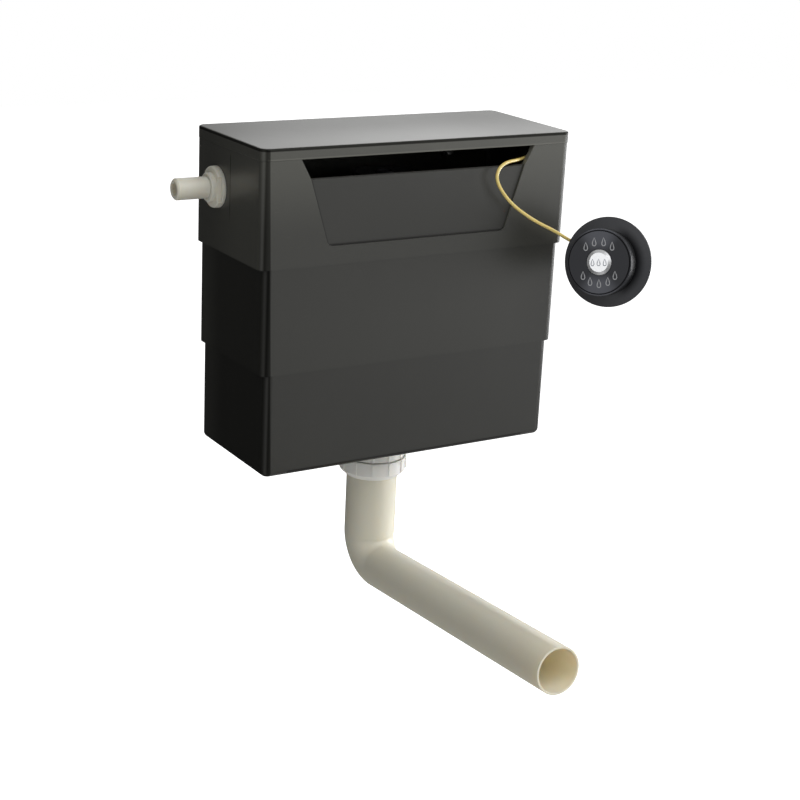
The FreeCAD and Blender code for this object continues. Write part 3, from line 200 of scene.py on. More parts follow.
class CisternHoseProperties(PropertyGroup):
    colour: colour_property("Colour", "Amber of the air hose", screen(228, 206, 128))
    # The rim colour is painted shade at the hose's edges, standing in for how clear plastic darkens
    # there
    rim_shade_colour: colour_property("Rim shade colour", "Dark amber at the hose's rims", screen(104, 86, 30))
    diameter: size_property("Diameter", "Outer diameter of the air hose", 0.0035)
    length: size_property("Length", "Real length of the air hose", 0.3432)


class CisternButtonProperties(PropertyGroup):
    colour: colour_property("Colour", "Cool charcoal of the button set", screen(50, 51, 55))
    mark_colour: colour_property("Mark colour", "Pale grey of the marks", screen(176, 177, 180))
    centre_colour: colour_property("Centre colour", "Silver of the centre", screen(252, 253, 255))
    centre_mark_colour: colour_property("Centre marks' colour", "Grey", screen(168, 172, 180))
    edge: size_property("Edge", "Rounding of the button set's edges", 0.0004)
    mark_radius: size_property("Mark radius", "Distance of the marks from the middle", 0.0207)
    mark_height: size_property("Mark height", "Height of one drop mark", 0.0088)
    upper_marks: count_property("Upper marks", "Drops above the middle", 4, 0)
    lower_marks: count_property("Lower marks", "Drops below the middle", 5, 0)
    centre_marks: count_property("Centre marks", "Drops on the middle", 3, 0)
    # Painted sheen: how much paler the painted highlights on the spun cap are
    painted_sheen: factor_property("Sheen", "How much paler the spun cap's two sheens are", 3.4)


class CisternSpringProperties(PropertyGroup):
    full_turns: count_property("Full turns", "Turns of the large spring", 6, 3)
    half_turns: count_property("Half turns", "Turns of the small spring", 4, 3)
    folds: count_property("Folds", "Folds of each bellows", 3, 1)


class CisternStudioProperties(PropertyGroup):
    floor_height: FloatProperty(
        name="Floor height", description="Height of the floor below the wall fixings",
        default=-0.95, subtype="DISTANCE", unit="LENGTH",
    )
    key_power: power_property("Key power", "Power of the lamp at the front right", 14.5)
    side_power: power_property("Side power", "Power of the low panel at the right", 18.0)
    rear_power: power_property("Rear power", "Power of the panel behind the tank", 3.2)
    room_level: factor_property("Room level", "Light that the pale room gives", 0.42)
    gloss_level: factor_property("Gloss level", "How pale the room looks in gloss", 0.82)


# Node trees
def place(tree, kind, inputs=None, **settings):
    """A new node with its settings, its inputs set, or linked where a socket is given."""
    node = tree.nodes.new(kind)
    for name, setting in settings.items():
        setattr(node, name, setting)
    for name, given in (inputs or {}).items():
        if isinstance(given, bpy.types.NodeSocket):
            tree.links.new(given, node.inputs[name])
        else:
            node.inputs[name].default_value = given
    return node


def calculate(tree, operation, first, second=0.0):
    """The result of a Math node."""
    return place(tree, "ShaderNodeMath", {0: first, 1: second}, operation=operation).outputs[0]


def blend_numbers(tree, share, first, second):
    """A number between two others."""
    return place(tree, "ShaderNodeMix", {0: share, 2: first, 3: second}).outputs[0]


def blend_colours(tree, share, first, second):
    """A colour between two others."""
    return place(tree, "ShaderNodeMix", {0: share, 6: first, 7: second}, data_type="RGBA").outputs[2]


def ramp(tree, number, low, high, start=0.0, end=1.0):
    """A soft step of a number from start to end."""
    settings = {"Value": number, 1: low, 2: high, 3: start, 4: end}
    return place(tree, "ShaderNodeMapRange", settings, interpolation_type="SMOOTHSTEP").outputs[0]


def product(tree, *factors):
    """The product of several numbers."""
    total = factors[0]
    for factor in factors[1:]:
        total = calculate(tree, "MULTIPLY", total, factor)
    return total


def offset(tree, spot, slant, height, start):
    """How far a spot lies past a line that leans with the height: spot + slant x height - start."""
    leaning = place(tree, "ShaderNodeMath", {0: height, 1: slant, 2: spot}, operation="MULTIPLY_ADD")
    return calculate(tree, "SUBTRACT", leaning.outputs[0], start)


def above(tree, number, limit):
    """1 where a number is above its limit, and 0 elsewhere."""
    return calculate(tree, "GREATER_THAN", number, limit)


def below(tree, number, limit):
    """1 where a number is below its limit, and 0 elsewhere."""
    return calculate(tree, "LESS_THAN", number, limit)


def until(tree, number, fall):
    """1 up to the start of a fall, and 0 from its end on."""
    return ramp(tree, number, *fall, 1.0, 0.0)


def band(tree, number, rise, fall):
    """A soft band of a number, between its rise and its fall."""
    return product(tree, ramp(tree, number, *rise), until(tree, number, fall))


def inside(tree, mask, level):
    """A factor that is 1 outside a mask and has the given level inside it."""
    return blend_numbers(tree, mask, 1.0, level)


def new_group(name, inputs, outputs):
    """A node group with named sockets, and its input and output nodes."""
    tree = bpy.data.node_groups.new(name, "ShaderNodeTree")
    for label, kind, start in inputs:
        socket = tree.interface.new_socket(name=label, in_out="INPUT", socket_type="NodeSocket" + kind)
        socket.default_value = start
    for label, kind in outputs:
        tree.interface.new_socket(name=label, in_out="OUTPUT", socket_type="NodeSocket" + kind)
    return tree, tree.nodes.new("NodeGroupInput").outputs, tree.nodes.new("NodeGroupOutput")


def frequency(tree, size):
    """Cells for each metre from the size of one cell."""
    return calculate(tree, "DIVIDE", 1.0, size)


def grain_group():
    """Fine moulded grain over a soft orange peel."""
    tree, given, result = new_group(
        "Moulded grain",
        [("Size", "Float", 0.001), ("Peel", "Float", 0.3)],
        [("Height", "Float")],
    )
    spot = place(tree, "ShaderNodeTexCoord").outputs["Object"]
    fine_scale = frequency(tree, given["Size"])
    fine = place(tree, "ShaderNodeTexNoise", {"Vector": spot, "Scale": fine_scale, "Detail": 2.0})
    peel_scale = calculate(tree, "MULTIPLY", fine_scale, 0.18)
    peel = place(tree, "ShaderNodeTexNoise", {"Vector": spot, "Scale": peel_scale, "Detail": 1.0})
    height = blend_numbers(tree, given["Peel"], fine.outputs[0], peel.outputs[0])
    tree.links.new(height, result.inputs["Height"])
    return tree


def drift_group():
    """Slow drift of colour and gloss over a moulding, with streaks along its flow."""
    tree, given, result = new_group(
        "Moulding drift",
        [("Colour", "Color", (0.5, 0.5, 0.5, 1.0)), ("Tone", "Float", 0.06), ("Size", "Float", 0.08),
         ("Roughness", "Float", 0.4), ("Spread", "Float", 0.05)],
        [("Colour", "Color"), ("Roughness", "Float")],
    )
    spot = place(tree, "ShaderNodeTexCoord").outputs["Object"]
    scale = frequency(tree, given["Size"])
    cloud = place(tree, "ShaderNodeTexNoise", {"Vector": spot, "Scale": scale, "Detail": 3.0})
    stretched = place(
        tree, "ShaderNodeMapping", {"Vector": spot, "Scale": (1.0, 1.0, 0.12)}, vector_type="POINT",
    ).outputs[0]
    streak_scale = calculate(tree, "MULTIPLY", scale, 6.0)
    streak_inputs = {"Vector": stretched, "Scale": streak_scale, "Detail": 2.0}
    streak = place(tree, "ShaderNodeTexNoise", streak_inputs)
    pattern = blend_numbers(tree, 0.35, cloud.outputs[0], streak.outputs[0])
    centred = calculate(tree, "SUBTRACT", pattern, 0.5)
    change = calculate(tree, "MULTIPLY_ADD", centred, given["Tone"])
    change.node.inputs[2].default_value = 1.0
    tinted = place(tree, "ShaderNodeVectorMath", {0: given["Colour"]}, operation="SCALE")
    tree.links.new(change, tinted.inputs["Scale"])
    tree.links.new(tinted.outputs[0], result.inputs["Colour"])
    gloss = calculate(tree, "MULTIPLY_ADD", centred, given["Spread"])
    tree.links.new(given["Roughness"], gloss.node.inputs[2])
    tree.links.new(gloss, result.inputs["Roughness"])
    return tree


def handling_group():
    """Mask of the light rubbing that handling leaves: short fine scratches in patches."""
    tree, given, result = new_group(
        "Handling marks", [("Size", "Float", 0.02), ("Amount", "Float", 0.3)], [("Mask", "Float")],
    )
    spot = place(tree, "ShaderNodeTexCoord").outputs["Object"]
    scale = frequency(tree, given["Size"])
    patch = place(tree, "ShaderNodeTexNoise", {"Vector": spot, "Scale": scale, "Detail": 4.0})
    squeezed = place(
        tree, "ShaderNodeMapping",
        {"Vector": spot, "Rotation": (0.3, 0.2, 0.5), "Scale": (1.0, 14.0, 5.0)}, vector_type="POINT",
    ).outputs[0]
    line_scale = calculate(tree, "MULTIPLY", scale, 4.0)
    lines = place(tree, "ShaderNodeTexNoise", {"Vector": squeezed, "Scale": line_scale, "Detail": 5.0})
    patches = ramp(tree, patch.outputs[0], 0.50, 0.68)
    scratches = ramp(tree, lines.outputs[0], 0.60, 0.70)
    both = calculate(tree, "MULTIPLY", patches, scratches)
    mask = calculate(tree, "MULTIPLY", both, given["Amount"])
    tree.links.new(mask, result.inputs["Mask"])
    return tree


def panel_masks(tree, parts, to_left):
    """Masks for painted light: the recessed panel's painted shade, the painted shade line round it, and
    its walls that face left, which get painted light.
    """
    near_panel = below(tree, calculate(tree, "ABSOLUTE", parts["X"]), PANEL_HALF_WIDTH)
    before, behind = PANEL_FRONT
    on_front = product(tree, above(tree, parts["Y"], before), below(tree, parts["Y"], behind))
    panel = product(tree, on_front, near_panel, below(tree, parts["Z"], PANEL_TOP))
    above_foot = calculate(tree, "SUBTRACT", parts["Z"], PANEL_FOOT)
    from_left = offset(tree, parts["X"], PANEL_SLANT, above_foot, PANEL_FOOT_LEFT)
    left_shade_line = until(tree, from_left, PANEL_SHADE_LINE)
    foot_shade_line = until(tree, above_foot, PANEL_SHADE_LINE)
    line = product(tree, panel, calculate(tree, "MAXIMUM", left_shade_line, foot_shade_line))
    facing_left = above(tree, to_left, 0.80)
    wall = product(tree, facing_left, near_panel, below(tree, parts["Y"], RECESS_REAR))
    return panel, line, wall


def corner_shade_mask(tree, parts, turned, to_left):
    """Mask of the painted shade on the upright corners, where the front turns to the left and the right
    wall.
    """
    upright = until(tree, turned["Z"], (0.3, 0.6))
    past_corner = offset(tree, parts["X"], FRONT_CORNER_SLANT, parts["Z"], FRONT_CORNER)
    left_corner = product(
        tree, until(tree, past_corner, (-0.0012, 0.0003)), until(tree, parts["Y"], LEFT_CORNER_END),
        until(tree, to_left, (0.42, 0.66)),
    )
    right_corner = product(
        tree, ramp(tree, turned["X"], 0.10, 0.25), until(tree, parts["Y"], RIGHT_CORNER_END),
        above(tree, parts["X"], RIGHT_CORNER_START),
    )
    return product(tree, upright, calculate(tree, "MAXIMUM", left_corner, right_corner))


def left_wall_masks(tree, parts, on_left, upper_tier):
    """Masks of the painted shade on the lower tiers' left wall, and of the painted shade line at the
    front edge of the inlet's pad.
    """
    lower_tiers = calculate(tree, "SUBTRACT", 1.0, upper_tier)
    to_rear = until(tree, parts["Y"], (-0.050, -0.010))
    lower_wall_shade = product(tree, until(tree, parts["X"], LOWER_LEFT_WALL), lower_tiers, to_rear)
    from_pad = calculate(tree, "ABSOLUTE", calculate(tree, "SUBTRACT", parts["Y"], INLET_PAD_EDGE))
    beside_pad = band(tree, parts["Z"], INLET_PAD_FOOT, INLET_PAD_TOP)
    pad_shade_line = product(tree, until(tree, from_pad, (0.0008, 0.0016)), on_left, beside_pad)
    return lower_wall_shade, pad_shade_line


def painted_tank_light_group():
    """Painted light and shade on the tank by place: paler at the top, darker below, in corners and
    round the panel.
    """
    tree, given, result = new_group(
        "Tank tones",
        [("Tier", "Float", 0.1032), ("Top", "Float", 1.7)],
        [("Tone", "Float"), ("Gloss", "Float")],
    )
    spot = place(tree, "ShaderNodeTexCoord").outputs["Object"]
    parts = place(tree, "ShaderNodeSeparateXYZ", {0: spot}).outputs
    facing = place(tree, "ShaderNodeNewGeometry").outputs["Normal"]
    turned = place(tree, "ShaderNodeSeparateXYZ", {0: facing}).outputs
    height = parts["Z"]
    to_left = calculate(tree, "MULTIPLY", turned["X"], -1.0)
    on_left = ramp(tree, to_left, 0.90, 0.97)
    # Painted shade: three tiers, each a little darker than the one above
    above_floor = calculate(tree, "SUBTRACT", height, TANK_FLOOR)
    tiers_up = calculate(tree, "DIVIDE", above_floor, given["Tier"])
    first_step, second_step = (0.985, 1.015), (1.985, 2.015)
    upper_tier = ramp(tree, tiers_up, *second_step)
    lower_tier_shade = ramp(tree, tiers_up, *first_step, 0.64, 0.80)
    tiers = product(tree, lower_tier_shade, ramp(tree, tiers_up, *second_step, 1.0, 1.25))
    # Painted light: paler towards the top, apart from the panel, and on the left wall towards the front
    panel, line, recess_wall_light = panel_masks(tree, parts, to_left)
    left_painted_light = product(tree, upper_tier, ramp(tree, parts["Y"], -0.110, -0.020, 0.80, 0.25))
    paler = blend_numbers(tree, on_left, ramp(tree, height, -0.050, 0.036), left_painted_light)
    outside = calculate(tree, "SUBTRACT", 1.0, panel)
    top = inside(tree, product(tree, paler, outside), given["Top"])
    # Painted shade and highlight lines, and painted shade in the corners and on the lower left wall
    edge = band(tree, height, *LID_EDGE_PAINTED_SHADE)
    to_front = until(tree, turned["Y"], (-0.98, -0.90))
    lid_painted_highlight = product(tree, to_front, band(tree, height, *LID_PAINTED_HIGHLIGHT))
    corner = corner_shade_mask(tree, parts, turned, to_left)
    lower_wall_shade, pad_shade_line = left_wall_masks(tree, parts, on_left, upper_tier)
    tone = product(
        tree, tiers, top, inside(tree, edge, 0.25), inside(tree, lid_painted_highlight, 1.5),
        inside(tree, lower_wall_shade, 0.6), inside(tree, line, 0.55), inside(tree, corner, 0.40),
        inside(tree, recess_wall_light, 2.4), inside(tree, pad_shade_line, 0.35), inside(tree, panel, 0.76),
    )
    tree.links.new(tone, result.inputs["Tone"])
    # Painted reflection: the lid's top is made glossiest at the middle of its front
    on_top = ramp(tree, turned["Z"], 0.90, 0.97)
    to_lid_rear = ramp(tree, parts["Y"], -0.135, -0.030, 1.0, 0.56)
    from_lid_left = ramp(tree, parts["X"], -0.170, -0.030, 0.82, 1.0)
    to_lid_right = ramp(tree, parts["X"], 0.020, 0.140, 1.0, 0.66)
    top_painted_reflection = inside(tree, on_top, product(tree, to_lid_rear, from_lid_left, to_lid_right))
    # The coat is also thinned where shade is painted, on the dark edge, lines, corners and lower wall
    gloss = product(
        tree, blend_numbers(tree, edge, 0.9, 0.05), inside(tree, lower_wall_shade, 0.6),
        inside(tree, corner, 0.15), inside(tree, line, 0.6), inside(tree, pad_shade_line, 0.3), top_painted_reflection,
    )
    tree.links.new(gloss, result.inputs["Gloss"])
    return tree


def button_parts(tree):
    """Sockets of the place on the button: across it, up its face, and along its axis."""
    spot = place(tree, "ShaderNodeTexCoord").outputs["Object"]
    button = button_place()
    parts = []
    for column in range(3):
        axis = button.col[column].to_3d()
        along_axis = place(tree, "ShaderNodeVectorMath", {0: spot, 1: axis}, operation="DOT_PRODUCT")
        start = button.translation.dot(axis)
        parts.append(calculate(tree, "SUBTRACT", along_axis.outputs["Value"], start))
    return parts


def painted_cap_light_group():
    """Painted light and shade on the button set: two painted sheens on the spun cap, and painted shade
    under the cap.
    """
    tree, given, result = new_group(
        "Spun cap",
        [("Sheen", "Float", 2.4), ("Shade", "Float", 0.2)],
        [("Tone", "Float"), ("Gloss", "Float")],
    )
    across, upright, level = button_parts(tree)
    across_square = calculate(tree, "MULTIPLY", across, across)
    upright_square = calculate(tree, "MULTIPLY", upright, upright)
    square = calculate(tree, "ADD", across_square, upright_square)
    radius = calculate(tree, "SQRT", square)
    # Painted sheens above and below the middle, which widen outwards, and painted shade in the groove
    # round the face
    share = calculate(tree, "DIVIDE", upright_square, square)
    wedge = product(tree, ramp(tree, share, 0.45, 1.0), ramp(tree, radius, 0.008, 0.022))
    on_face = above(tree, level, CAP_RIM)
    painted_sheen = inside(tree, product(tree, wedge, on_face), given["Sheen"])
    groove = product(tree, on_face, band(tree, radius, *CAP_GROOVE_SHADE))
    # Shade: the lower side of the cap, the collar under it, and the cast shade at its right
    past_underside, under_cap = above(tree, level, CAP_UNDERSIDE), below(tree, level, CAP_UNDERSIDE)
    lower_side_shade = product(tree, until(tree, level, CAP_SIDE_SHADE), past_underside)
    cast = product(tree, ramp(tree, across, 0.006, 0.022), until(tree, radius, (0.030, 0.041)))
    collar = calculate(tree, "MAXIMUM", until(tree, radius, COLLAR_SHADE), cast)
    under_cap_shade = calculate(tree, "MAXIMUM", product(tree, under_cap, collar), lower_side_shade)
    shaded = calculate(tree, "MAXIMUM", under_cap_shade, groove)
    # The cap's whole side gets painted shade too, in its colour and its coat
    side = product(tree, below(tree, level, CAP_SIDE_END), past_underside)
    tone = product(tree, painted_sheen, inside(tree, shaded, given["Shade"]), inside(tree, side, 0.4))
    tree.links.new(tone, result.inputs["Tone"])
    gloss = product(
        tree, blend_numbers(tree, shaded, 0.9, 0.05), inside(tree, side, 0.08),
        inside(tree, on_face, 0.38),
    )
    tree.links.new(gloss, result.inputs["Gloss"])
    return tree


GROUPS = {}


def shared_group(name):
    """A shared node group, made when it is first asked for."""
    makers = {
        "grain": grain_group, "drift": drift_group, "handling": handling_group,
        "tiers": painted_tank_light_group, "spun": painted_cap_light_group,
    }
    if name not in GROUPS:
        GROUPS[name] = makers[name]()
    return GROUPS[name]


def use_group(tree, name, inputs):
    """A shared node group placed in a material with its own values."""
    node = tree.nodes.new("ShaderNodeGroup")
    node.node_tree = shared_group(name)
    for label, given in inputs.items():
        node.inputs[label].default_value = given
    return node


# Materials
def linear(colour):
    """A screen colour in the values that a shader takes."""
    return tuple(Color(colour[:3]).from_srgb_to_scene_linear()) + (1.0,)


def moulded(name, colour, roughness, tone=0.08, drift=0.02, spread=0.06, grain=0.0006,
            depth=0.000008, rubbing=0.0, subsurface=0.0, scatter=0.002, specular=0.5,
            metallic=0.0, tones=None):
    """A moulded plastic, rubber or plated finish with drift, grain and handling marks.

    The tones name a shared group and its values. The group paints light and shade into the colour by
    place and sets the weight of a satin coat, which then gives most of the gloss.
    """
    material = bpy.data.materials.new(name)
    material.use_nodes = True
    tree = material.node_tree
    tree.nodes.clear()
    shader = place(tree, "ShaderNodeBsdfPrincipled", {
        "Metallic": metallic, "Specular IOR Level": specular, "Subsurface Weight": subsurface,
        "Subsurface Scale": scatter, "Subsurface Radius": (1.0, 0.8, 0.6), "Coat Roughness": roughness,
    })
    place(tree, "ShaderNodeOutputMaterial", {"Surface": shader.outputs[0]})
    moved = use_group(tree, "drift", {
        "Colour": linear(colour), "Tone": tone, "Size": drift, "Roughness": roughness, "Spread": spread,
    })
    final_colour, final_roughness = moved.outputs["Colour"], moved.outputs["Roughness"]
    if rubbing:
        marks = use_group(tree, "handling", {"Size": 0.03, "Amount": rubbing}).outputs["Mask"]
        lighter = linear([min(1.0, part + 0.12) for part in colour])
        final_colour = blend_colours(tree, marks, final_colour, lighter)
        final_roughness = calculate(tree, "ADD", final_roughness, marks)
    # Painted light and shade by place from the tones group
    if tones:
        painted_light_by_place = use_group(tree, *tones)
        scaled = place(tree, "ShaderNodeVectorMath", {0: final_colour}, operation="SCALE")
        tree.links.new(painted_light_by_place.outputs["Tone"], scaled.inputs["Scale"])
        tree.links.new(painted_light_by_place.outputs["Gloss"], shader.inputs["Coat Weight"])
        final_colour = scaled.outputs[0]
    tree.links.new(final_colour, shader.inputs["Base Color"])
    tree.links.new(final_roughness, shader.inputs["Roughness"])
    height = use_group(tree, "grain", {"Size": grain}).outputs["Height"]
    bump = place(tree, "ShaderNodeBump", {"Height": height, "Distance": depth, "Strength": 1.0})
    tree.links.new(bump.outputs[0], shader.inputs["Normal"])
    return material


def finish_with(piece, material):
    """Give a whole piece one material."""
    piece.data.materials.clear()
    piece.data.materials.append(material)


def dress(material, *nodes):
    """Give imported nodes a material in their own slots."""
    for name in nodes:
        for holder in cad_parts[name].material_slots:
            holder.material = material


# Shapes
def round_edges(radius, *nodes, segments=3, sharpest=28.0):
    """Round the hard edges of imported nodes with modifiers."""
    for name in nodes:
        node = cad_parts[name]
        node.modifiers.new("Joined faces", "WELD").merge_threshold = 1e-6
        flats = node.modifiers.new("Plain flats", "DECIMATE")
        flats.decimate_type = "DISSOLVE"
        flats.angle_limit = math.radians(0.4)
        rounding = node.modifiers.new("Rounded edges", "BEVEL")
        rounding.limit_method = "ANGLE"
        rounding.angle_limit = math.radians(sharpest)
        rounding.width = radius
        rounding.segments = segments
        rounding.use_clamp_overlap = True
        rounding.miter_outer = "MITER_ARC"
        shading = node.modifiers.new("Even shading", "WEIGHTED_NORMAL")
        shading.keep_sharp = False


def mesh_piece(name, points, faces, material, body, smooth=True):
    """A new mesh piece with its material, which rides on a body unless none is given."""
    mesh = bpy.data.meshes.new(name)
    mesh.from_pydata(points, [], faces)
    mesh.validate()
    mesh.polygons.foreach_set("use_smooth", [smooth] * len(mesh.polygons))
    mesh.update()
    piece = bpy.data.objects.new(name, mesh)
    bpy.context.scene.collection.objects.link(piece)
    finish_with(piece, material)
    if body:
        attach(piece, body)
    return piece


def turned_shape(profile, steps, place_in):
    """Points and faces of a closed profile of (radius, height) turned about local Z."""
    points, faces, count = [], [], len(profile)
    for step in range(steps):
        angle = 2 * math.pi * step / steps
        for radius, height in profile:
            local = Vector((radius * math.cos(angle), radius * math.sin(angle), height))
            points.append(place_in @ local)
        for index in range(count):
            following, next_step = (index + 1) % count, (step + 1) % steps
            faces.append((
                step * count + index, next_step * count + index,
                next_step * count + following, step * count + following,
            ))
    return points, faces


def tube_shape(line, radius, sides):
    """Points and faces of a round tube with closed ends along a line of points."""
    points, faces = [], []
    upright = Vector((0.0, 0.0, 1.0))
    for index, spot in enumerate(line):
        before, after = line[max(index - 1, 0)], line[min(index + 1, len(line) - 1)]
        along = (after - before).normalized()
        across = along.cross(upright).normalized()
        over = across.cross(along)
        for side in range(sides):
            angle = 2 * math.pi * side / sides
            points.append(spot + radius * (across * math.cos(angle) + over * math.sin(angle)))
    for index in range(len(line) - 1):
        for side in range(sides):
            following = (side + 1) % sides
            start = index * sides
            faces.append((start + side, start + sides + side,
                          start + sides + following, start + following))
    last = (len(line) - 1) * sides
    faces.append(tuple(range(sides)))
    faces.append(tuple(last + side for side in reversed(range(sides))))
    return points, faces


def button_place():
    """The button set's frame: local Z faces the user and local Y is its upright."""
    turn = Matrix.Rotation(math.radians(-BUTTON_FACING), 4, "Z")
    tilt = Matrix.Rotation(math.radians(90.0 - BUTTON_TILT), 4, "X")
    roll = Matrix.Rotation(math.radians(BUTTON_ROLL), 4, "Z")
    return Matrix.Translation(BUTTON_CENTRE) @ turn @ tilt @ roll


def outlet_place():
    """The outlet's frame, upright through the flush valve at the tank's underside."""
    return Matrix.Translation((*OUTLET_AXIS, TANK_FLOOR))


class CISTERN_OT_stage(Operator):
    """Set up the camera, the pale room with its lamps, and the floor"""

    bl_idname = "cistern.stage"
    bl_label = "Stage"
    bl_options = {"REGISTER", "UNDO"}

    # Each lamp's name, place, aim, size and property for its power
    LAMPS = (
        ("Key panel", (0.20, -1.30, 1.15), (0.0, -0.08, -0.08), (1.1, 1.1), "key_power"),
        ("Side panel", (1.60, -0.38, -0.30), (0.0, -0.10, -0.38), (1.0, 0.6), "side_power"),
        ("Rear panel", (1.35, 1.45, 0.90), (0.0, -0.07, 0.04), (1.5, 1.1), "rear_power"),
    )

    # Each field of the room's direction, the cosines of its soft edge, and its level
    SCREEN = ((-0.62, 0.76, -0.18), (0.15, 0.80), 0.06)
    GLOSS_FIELDS = (
        ((-0.50, -0.86, -0.10), (0.86, 0.97), 0.10),
        ((0.52, 0.81, -0.27), (0.90, 0.98), 0.15),
        ((-0.95, -0.28, 0.13), (0.90, 0.97), 1.60),
    )

    def execute(self, context):
        scene = context.scene
        studio = scene.cistern_studio
        self.add_camera(scene)
        self.paint_room(scene, studio)
        self.add_floor(scene, studio)
        for name, spot, aim, size, power in self.LAMPS:
            self.add_lamp(scene, name, spot, aim, size, getattr(studio, power))
        scene.view_settings.view_transform = "Standard"
        return {"FINISHED"}

    def add_camera(self, scene):
        data = bpy.data.cameras.new("Photograph")
        data.lens = CAMERA_LENS
        camera = bpy.data.objects.new("Photograph", data)
        scene.collection.objects.link(camera)
        heading = Matrix.Rotation(math.radians(-CAMERA_HEADING), 4, "Z")
        lowered = Matrix.Rotation(math.radians(90.0 - CAMERA_DOWN), 4, "X")
        roll = Matrix.Rotation(math.radians(CAMERA_ROLL), 4, "Z")
        camera.matrix_world = Matrix.Translation(CAMERA_PLACE) @ heading @ lowered @ roll
        scene.camera = camera

    def add_field(self, tree, direction, toward, edge, level):
        """A factor that is 1 away from a direction of the room and has its level round it."""
        inputs = {0: direction, 1: toward}
        cosine = place(tree, "ShaderNodeVectorMath", inputs, operation="DOT_PRODUCT").outputs["Value"]
        return ramp(tree, cosine, *edge, 1.0, level)

    def paint_room(self, scene, studio):
        """A pale room with a dark screen at the rear left.

        In gloss it also has a dim floor and ceiling, two dark fields and a bright window.
        """
        room = bpy.data.worlds.new("Pale room")
        room.use_nodes = True
        tree = room.node_tree
        tree.nodes.clear()
        direction = place(tree, "ShaderNodeTexCoord").outputs["Generated"]
        parts = place(tree, "ShaderNodeSeparateXYZ", {0: direction}).outputs
        above_floor = ramp(tree, parts["Z"], -0.40, -0.12, 0.55, 1.30)
        under_ceiling = ramp(tree, parts["Z"], 0.55, 0.85, 1.0, 0.10)
        to_right = ramp(tree, parts["X"], 0.40, 0.70, 0.82, 1.30)
        fields = [self.add_field(tree, direction, *field) for field in self.GLOSS_FIELDS]
        gloss = product(tree, above_floor, under_ceiling, to_right, *fields)
        gloss_level = calculate(tree, "MULTIPLY", gloss, studio.gloss_level)
        rays = place(tree, "ShaderNodeLightPath").outputs
        level = blend_numbers(tree, rays["Is Glossy Ray"], studio.room_level, gloss_level)
        lit = calculate(tree, "MULTIPLY", level, self.add_field(tree, direction, *self.SCREEN))
        seen = calculate(tree, "MAXIMUM", rays["Is Camera Ray"], rays["Is Transmission Ray"])
        strength = blend_numbers(tree, seen, lit, 1.0)
        plain_white = (1.0, 1.0, 1.0, 1.0)
        white = place(tree, "ShaderNodeBackground", {"Color": plain_white, "Strength": strength})
        place(tree, "ShaderNodeOutputWorld", {"Surface": white.outputs[0]})
        scene.world = room

    def add_floor(self, scene, studio):
        half, height = 6.0, studio.floor_height
        corners = [(-half, -half, height), (half, -half, height), (half, half, height),
                   (-half, half, height)]
        mesh = bpy.data.meshes.new("floor")
        mesh.from_pydata(corners, [], [(0, 1, 2, 3)])
        floor = bpy.data.objects.new("floor", mesh)
        scene.collection.objects.link(floor)
        material = bpy.data.materials.new("Pale floor")
        material.use_nodes = True
        tree = material.node_tree
        tree.nodes.clear()
        matt = place(tree, "ShaderNodeBsdfDiffuse", {"Color": linear(screen(236, 236, 234))})
        rays = place(tree, "ShaderNodeLightPath").outputs
        glow = place(tree, "ShaderNodeEmission", {"Strength": rays["Is Camera Ray"]})
        surface = place(tree, "ShaderNodeAddShader", {0: matt.outputs[0], 1: glow.outputs[0]})
        place(tree, "ShaderNodeOutputMaterial", {"Surface": surface.outputs[0]})
        finish_with(floor, material)
        floor.visible_glossy = False

    def add_lamp(self, scene, name, spot, aim, size, power):
        data = bpy.data.lights.new(name, "AREA")
        data.shape = "RECTANGLE"
        data.size, data.size_y = size
        data.energy = power
        lamp = bpy.data.objects.new(name, data)
        scene.collection.objects.link(lamp)
        lamp.location = spot
        lamp.rotation_euler = (Vector(aim) - Vector(spot)).to_track_quat("-Z", "Y").to_euler()
        lamp.visible_camera = False


